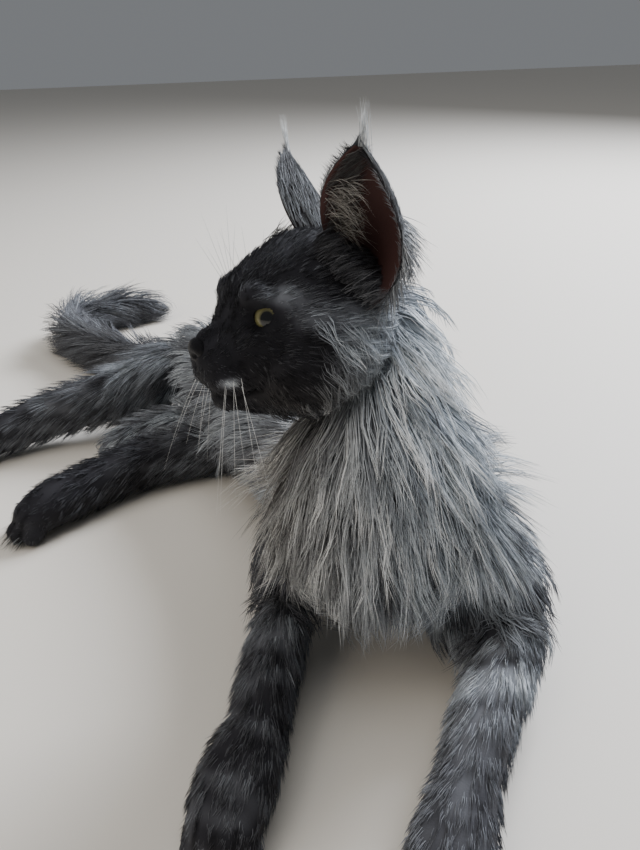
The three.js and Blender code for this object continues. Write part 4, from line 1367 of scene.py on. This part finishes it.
def ear_hairs(side):
    rng = np.random.default_rng(SEED + 40 + side)
    cup = unit((np.array(EAR_INNER[1], float) + EAR_OUTER[1]) / 2 - EAR_BACK[1])
    lift = EAR_THICK * 0.4
    made = []

    def spots(count, s_low, s_high, t_low, t_high):
        # Places on the leaf, with their ways into the cup, up the leaf and across it
        s = rng.uniform(s_low, s_high, count)
        t = rng.uniform(t_low, t_high, count)
        inward = ear_normal(s, t)
        inward = inward * np.sign(inward @ cup)[:, None]
        return s, t, ear_sheet(s, t), inward, unit(ear_rise(s, t)), unit(ear_across(s, t))

    def some(low, high):
        return rng.uniform(low, high, len(t))

    def lay(label, roots, ways, bends, lengths, tone, warm, radius, steps=4):
        shape = roots.shape
        roots, ways, bends = (np.broadcast_to(v, shape) * MIRROR[side] for v in (roots, ways, bends))
        name = f"ear_{label}_{SIDE_NAME[side]}"
        made.append(ear_piece(name, roots, ways, bends, lengths, tone, warm, radius, steps))

    s, t, place, inward, rise, across = spots(1300, -1, 1, 0.02, 0.93)
    ways = rise - inward * 0.16 + across * rng.normal(scale=0.15, size=(len(s), 1))
    tone = 0.42 + 0.16 * (1 - t) + rng.normal(scale=0.09, size=len(s))
    lay("back_fur", place - inward * lift, ways, inward * 1.2, some(7, 12), tone, 0.25, 0.24)

    s, t, _, inward, rise, _ = spots(620, 0.9, 1, 0.03, 0.95)
    s = s * rng.choice([-1.0, 1.0], len(s))
    place = ear_sheet(s, t)
    edge = unit(place - ear_sheet(s * 0.9, t))
    ways = rise + edge * some(0.1, 0.45)[:, None] + inward * rng.normal(scale=0.2, size=(len(s), 1))
    tone = np.where(t > 0.85, 0.14, 0.42) + rng.normal(scale=0.1, size=len(s))
    lay("rim_fur", place, ways, inward, some(3, 7), tone, 0.3, 0.18)

    s, t, place, inward, rise, across = spots(520, -0.99, -0.55, 0.02, 0.9)
    ways = rise + across * some(0.1, 0.7)[:, None] + inward * 0.3
    tone = some(0.16, 0.42)
    lay("front_fur", place + inward * lift, ways, across * 2.0, some(6, 12), tone, 0.6, 0.16)

    # Fur of the brow, standing up over the foot of the cup
    t = rng.random(640)
    place = bezier(EAR_FOOT_LINE, t) + rng.normal(scale=2.2, size=(len(t), 3))
    ways = rise.mean(axis=0) * 0.6 + np.array([-0.8, 0.1, 0.1])
    ways = ways + rng.normal(scale=0.16, size=(len(t), 3))
    tone = 0.13 + 0.2 * t + rng.normal(scale=0.05, size=len(t))
    lay("foot_fur", place, ways, np.array([-2.0, 0.0, -2.0]), some(7, 13), tone, 0.3, 0.22)

    s, t, place, inward, rise, across = spots(180, -0.98, -0.62, 0.02, 0.62)
    ways = across * 0.55 + inward * some(0.3, 1.0)[:, None]
    ways = ways + rise * some(-0.2, 0.9)[:, None]
    bends = -rise * some(1, 10)[:, None]
    bends = bends - across * some(-3, 7)[:, None]
    tone = some(0.45, 0.95)
    lay("furnishings", place + inward * lift, ways, bends, some(9, 20), tone, 0.8, 0.12, steps=7)

    s, t, place, inward, rise, across = spots(460, 0.3, 1, 0.0, 0.5)
    ways = across * 0.5 - inward * 0.5 - rise * 0.4 + rng.normal(scale=0.2, size=(len(s), 3))
    tone = some(0.35, 0.75)
    lay("base_fur", place - inward, ways, rise * -4, some(10, 22), tone, 0.3, 0.28, steps=5)

    s, t, place, inward, rise, across = spots(44, -0.6, 0.5, 0.88, 0.97)
    ways = EAR_TUFT_TIP + rng.normal(scale=1.6, size=(len(s), 3)) - place
    tone = some(0.7, 1.0)
    lengths = np.linalg.norm(ways, axis=1) * some(0.55, 1.0)
    lay("tuft", place, ways, np.array([0.0, -1.5, 1.0]), lengths, tone, 0.3, 0.2, steps=6)
    return made


EAR_HAIRS = ear_hairs(-1) + ear_hairs(1)


# Tufts between the toes, reaching past them. Most of their hairs are dark, some pale
TOE_HAIRS = 26
TOE_HAIR = 0.26
TOE_STEPS = 5
TOE_DROOP = 5
TOE_DARK, TOE_PALE, TOE_WARM = 0.14, 0.7, 0.3
TOE_PALE_SHARE = 0.2


def toe_tufts():
    rng = np.random.default_rng(SEED + 60)
    roots, ways = [], []
    for name in FEET:
        toes = list(toe_places(FORMS[FORM_INDEX[name]]))
        for (here, _, ahead), (beyond, _, _) in zip(toes[:-1], toes[1:]):
            for _ in range(TOE_HAIRS):
                roots.append((here + beyond) / 2 + ahead * 4 + rng.normal(scale=2.0, size=3))
                ways.append(ahead + 0.2 * rng.normal(size=3) + UP * rng.uniform(-0.1, 0.25))
    roots, ways = np.array(roots), unit(np.array(ways))
    s = np.linspace(0, 1, TOE_STEPS)
    lengths = rng.uniform(8, 19, len(roots))
    hairs = straight(roots, ways, lengths, s)
    hairs[..., 2] = np.maximum(hairs[..., 2] - TOE_DROOP * s ** 2, TUFT_FLOOR)
    tone = np.where(rng.random(len(roots)) < TOE_PALE_SHARE, TOE_PALE, TOE_DARK)
    patches = root_patch(roots, *nearest_form(roots))
    return hair_piece("toe_tufts", hairs, TOE_HAIR, coat_colour(tone[:, None], TOE_WARM), patches,
                      (1, 1, 0.9, 0.6, 0.08))


# Eyes. Both look out from straight ahead, and glance to its own left, toward the viewer
LOOK_OUT = 24
GLANCE = 30
PUPIL_NARROW = 1.22
IRIS_EDGE = 62
SOCKET_GAP = 0.2


def eye(side):
    centre = EYE_CENTRE * MIRROR[side]
    verts, faces = head_ball(centre, (EYE_RADIUS - SOCKET_GAP,) * 3, 64)
    piece = mesh_object(f"eyeball_{SIDE_NAME[side]}", verts, faces)
    out = math.radians(LOOK_OUT * side + GLANCE)
    look = np.array([math.cos(out), math.sin(out), 0.0])
    way = unit(head_local(verts) - centre)
    across, up = way @ unit(np.cross(UP, look)), way @ UP
    angle = np.degrees(np.arctan2(np.hypot(across * PUPIL_NARROW, up), way @ look))
    point_values(piece.data, "ring", np.clip(angle / IRIS_EDGE, 0, 1))
    dress(piece, EYE)
    return piece


# Nose leather, narrower below, with a nostril on each side and a groove down its middle
NOSTRIL = np.array([66.5, 4.2, -16.5])
NOSTRIL_SIZE = np.array([3.5, 2.0, 1.6])
NOSTRIL_DEPTH = 2.6
GROOVE_DEPTH = 0.9
GROOVE_WIDTH = 0.8


def nose_pad():
    verts, faces = head_ball((62, 0, -14.5), (5.6, 9.2, 7.4), 40)
    local = head_local(verts)
    height = local[:, 2] - NOSE_CENTRE[2]
    local[:, 1] *= 1 - 0.35 * ramp(height, 0, -6.5)
    for s in SIDES:
        local[:, 0] -= NOSTRIL_DEPTH * blob(local, NOSTRIL * MIRROR[s], NOSTRIL_SIZE)
    local[:, 0] -= GROOVE_DEPTH * peak(local[:, 1], 0, GROOVE_WIDTH) * (height < 1)
    piece = mesh_object("nose_pad", head_place(local), faces)
    dress(piece, LEATHER)
    return piece


# Whiskers and brow hairs, as single curved hairs
BRISTLE_STEPS = 8


def bristles(name, roots, ways, lengths, droop, radius, code):
    s = np.linspace(0, 1, BRISTLE_STEPS)
    roots, ways = head_place(roots), unit(np.array(ways) @ HEAD_AXES)
    hairs = straight(roots, ways, lengths, s)
    hairs[..., 2] -= np.asarray(droop)[:, None] * s[None] ** 2
    patches = root_patch(roots, np.full(len(roots), HEAD_INDEX), np.full(len(roots), 0.9))
    taper = np.interp(s, (0, 0.6, 1), (1, 0.75, 0.15))
    return hair_piece(name, hairs, radius, srgb(code), patches, taper)


def whiskers(rng):
    # Two rows of three on each side
    roots, ways, lengths, droop = [], [], [], []
    for s in SIDES:
        for row in range(2):
            for k in range(3):
                roots.append((53 - 4.0 * k, s * (19.5 + 1.6 * k), -28 - 5.0 * row))
                fan = rng.normal(scale=0.09)
                ways.append((0.42 - 0.2 * k + fan, s * (0.42 + 0.2 * row + fan), -1.0))
                lengths.append(rng.uniform(46, 74))
                droop.append(rng.uniform(4, 22))
    return bristles("whiskers", roots, ways, lengths, droop, 0.12, "#f4f4f2")


def brow_hairs(rng):
    roots, ways = [], []
    for s in SIDES:
        for k in range(7):
            roots.append((38 - 1.5 * k, s * (15 + 1.6 * k), 20 + 0.8 * k))
            ways.append((0.5 - 0.12 * k, s * 0.35, 1.0))
    lengths = rng.uniform(26, 44, len(roots))
    droop = rng.uniform(-2, 6, len(roots))
    return bristles("brow_hairs", roots, ways, lengths, droop, 0.11, "#2a2a2d")


short_pieces = [toe_tufts()]
eyes = {s: eye(s) for s in SIDES}
nose = nose_pad()
bristle_rng = np.random.default_rng(SEED)
short_pieces += [whiskers(bristle_rng), brow_hairs(bristle_rng)]
for piece in (body, head, *ears.values()):
    dress(piece, SKIN)


# Each piece hangs from the root, and the parts of the model that it replaces are hidden
def tell(piece, slot, *nodes):
    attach(piece, "root")
    if nodes:
        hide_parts(*nodes)


COAT_SLOTS = {
    "ruff": "silver_ruff", "coat_head": "short_black_fur", "cheek": "short_black_fur",
    "coat_tail": "tail_fur",
}
OWN_SKIN = ("eye_left", "eye_right", "nose", "head", "ear_left", "ear_right")
for piece in COATS:
    slots = [slot for start, slot in COAT_SLOTS.items() if piece.name.startswith(start)]
    tell(piece, slots[0] if slots else "smoke_coat")
for piece in EAR_HAIRS:
    tell(piece, "ear_fur")
for piece in short_pieces:
    tell(piece, "short_black_fur")
tell(body, "smoke_coat", *[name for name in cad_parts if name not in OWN_SKIN])
tell(head, "short_black_fur", "head")
tell(nose, "nose_leather", "nose")
for s in SIDES:
    tell(ears[s], "ear_fur", f"ear_{SIDE_NAME[s]}")
    tell(eyes[s], "eye", f"eye_{SIDE_NAME[s]}")


# Studio
def floor():
    surface, _, _ = material("plain pale floor", {"Base Color": rgba("#d8d2c8"), "Roughness": 0.6})
    data = bpy.data.meshes.new("studio_floor")
    data.from_pydata([(-4, -3, 0), (4, -3, 0), (4, 7, 0), (-4, 7, 0)], [], [(0, 1, 2, 3)])
    piece = stand("studio_floor", data)
    piece.data.materials.append(surface)


def area_light(name, place, aim, size, power, tint, glossy=True):
    data = bpy.data.lights.new(name, "AREA")
    data.shape = "DISK"
    data.size = size
    data.energy = power
    data.color = srgb(tint)
    lamp = stand(name, data)
    lamp.location = place
    lamp.visible_glossy = glossy
    lamp.rotation_euler = (Vector(aim) - Vector(place)).to_track_quat("-Z", "Y").to_euler()


def soft_room():
    world = bpy.data.worlds.new("soft room")
    bpy.context.scene.world = world
    world.use_nodes = True
    background = world.node_tree.nodes["Background"]
    background.inputs["Color"].default_value = rgba("#cfd3d8")
    background.inputs["Strength"].default_value = 0.3


SENSOR = 36.0


def camera():
    # Tilted down by the pitch, then turned about its own line of sight by the roll
    pitch, roll = math.radians(CAMERA_PITCH), math.radians(CAMERA_ROLL)
    ahead = np.array([0, math.cos(pitch), -math.sin(pitch)])
    right = np.array([1.0, 0, 0])
    up = np.cross(right, ahead)
    data = bpy.data.cameras.new("view")
    data.sensor_width = SENSOR
    data.lens = SENSOR * FOCAL_PIXELS / PHOTO_LONG_SIDE
    data.clip_start = 0.02
    view = stand("view", data)
    turn = np.eye(4)
    turn[:3, 0] = math.cos(roll) * right - math.sin(roll) * up
    turn[:3, 1] = math.cos(roll) * up + math.sin(roll) * right
    turn[:3, 2] = -ahead
    turn[:3, 3] = metres((0, 0, CAMERA_HEIGHT))
    view.matrix_world = Matrix(turn.tolist())
    bpy.context.scene.camera = view


floor()
area_light("window_light", (1.6, 1.4, 1.7), (0.1, -0.1, 0.15), 1.2, 150, "#f0f5ff")
area_light("room_fill", (-1.6, -1.2, 1.9), (0, 0, 0.1), 2.2, 28, "#fff6ea", glossy=False)
area_light("ceiling_fill", (0.0, 0.0, 2.6), (0, 0, 0), 2.5, 30, "#ffffff", glossy=False)
soft_room()
camera()
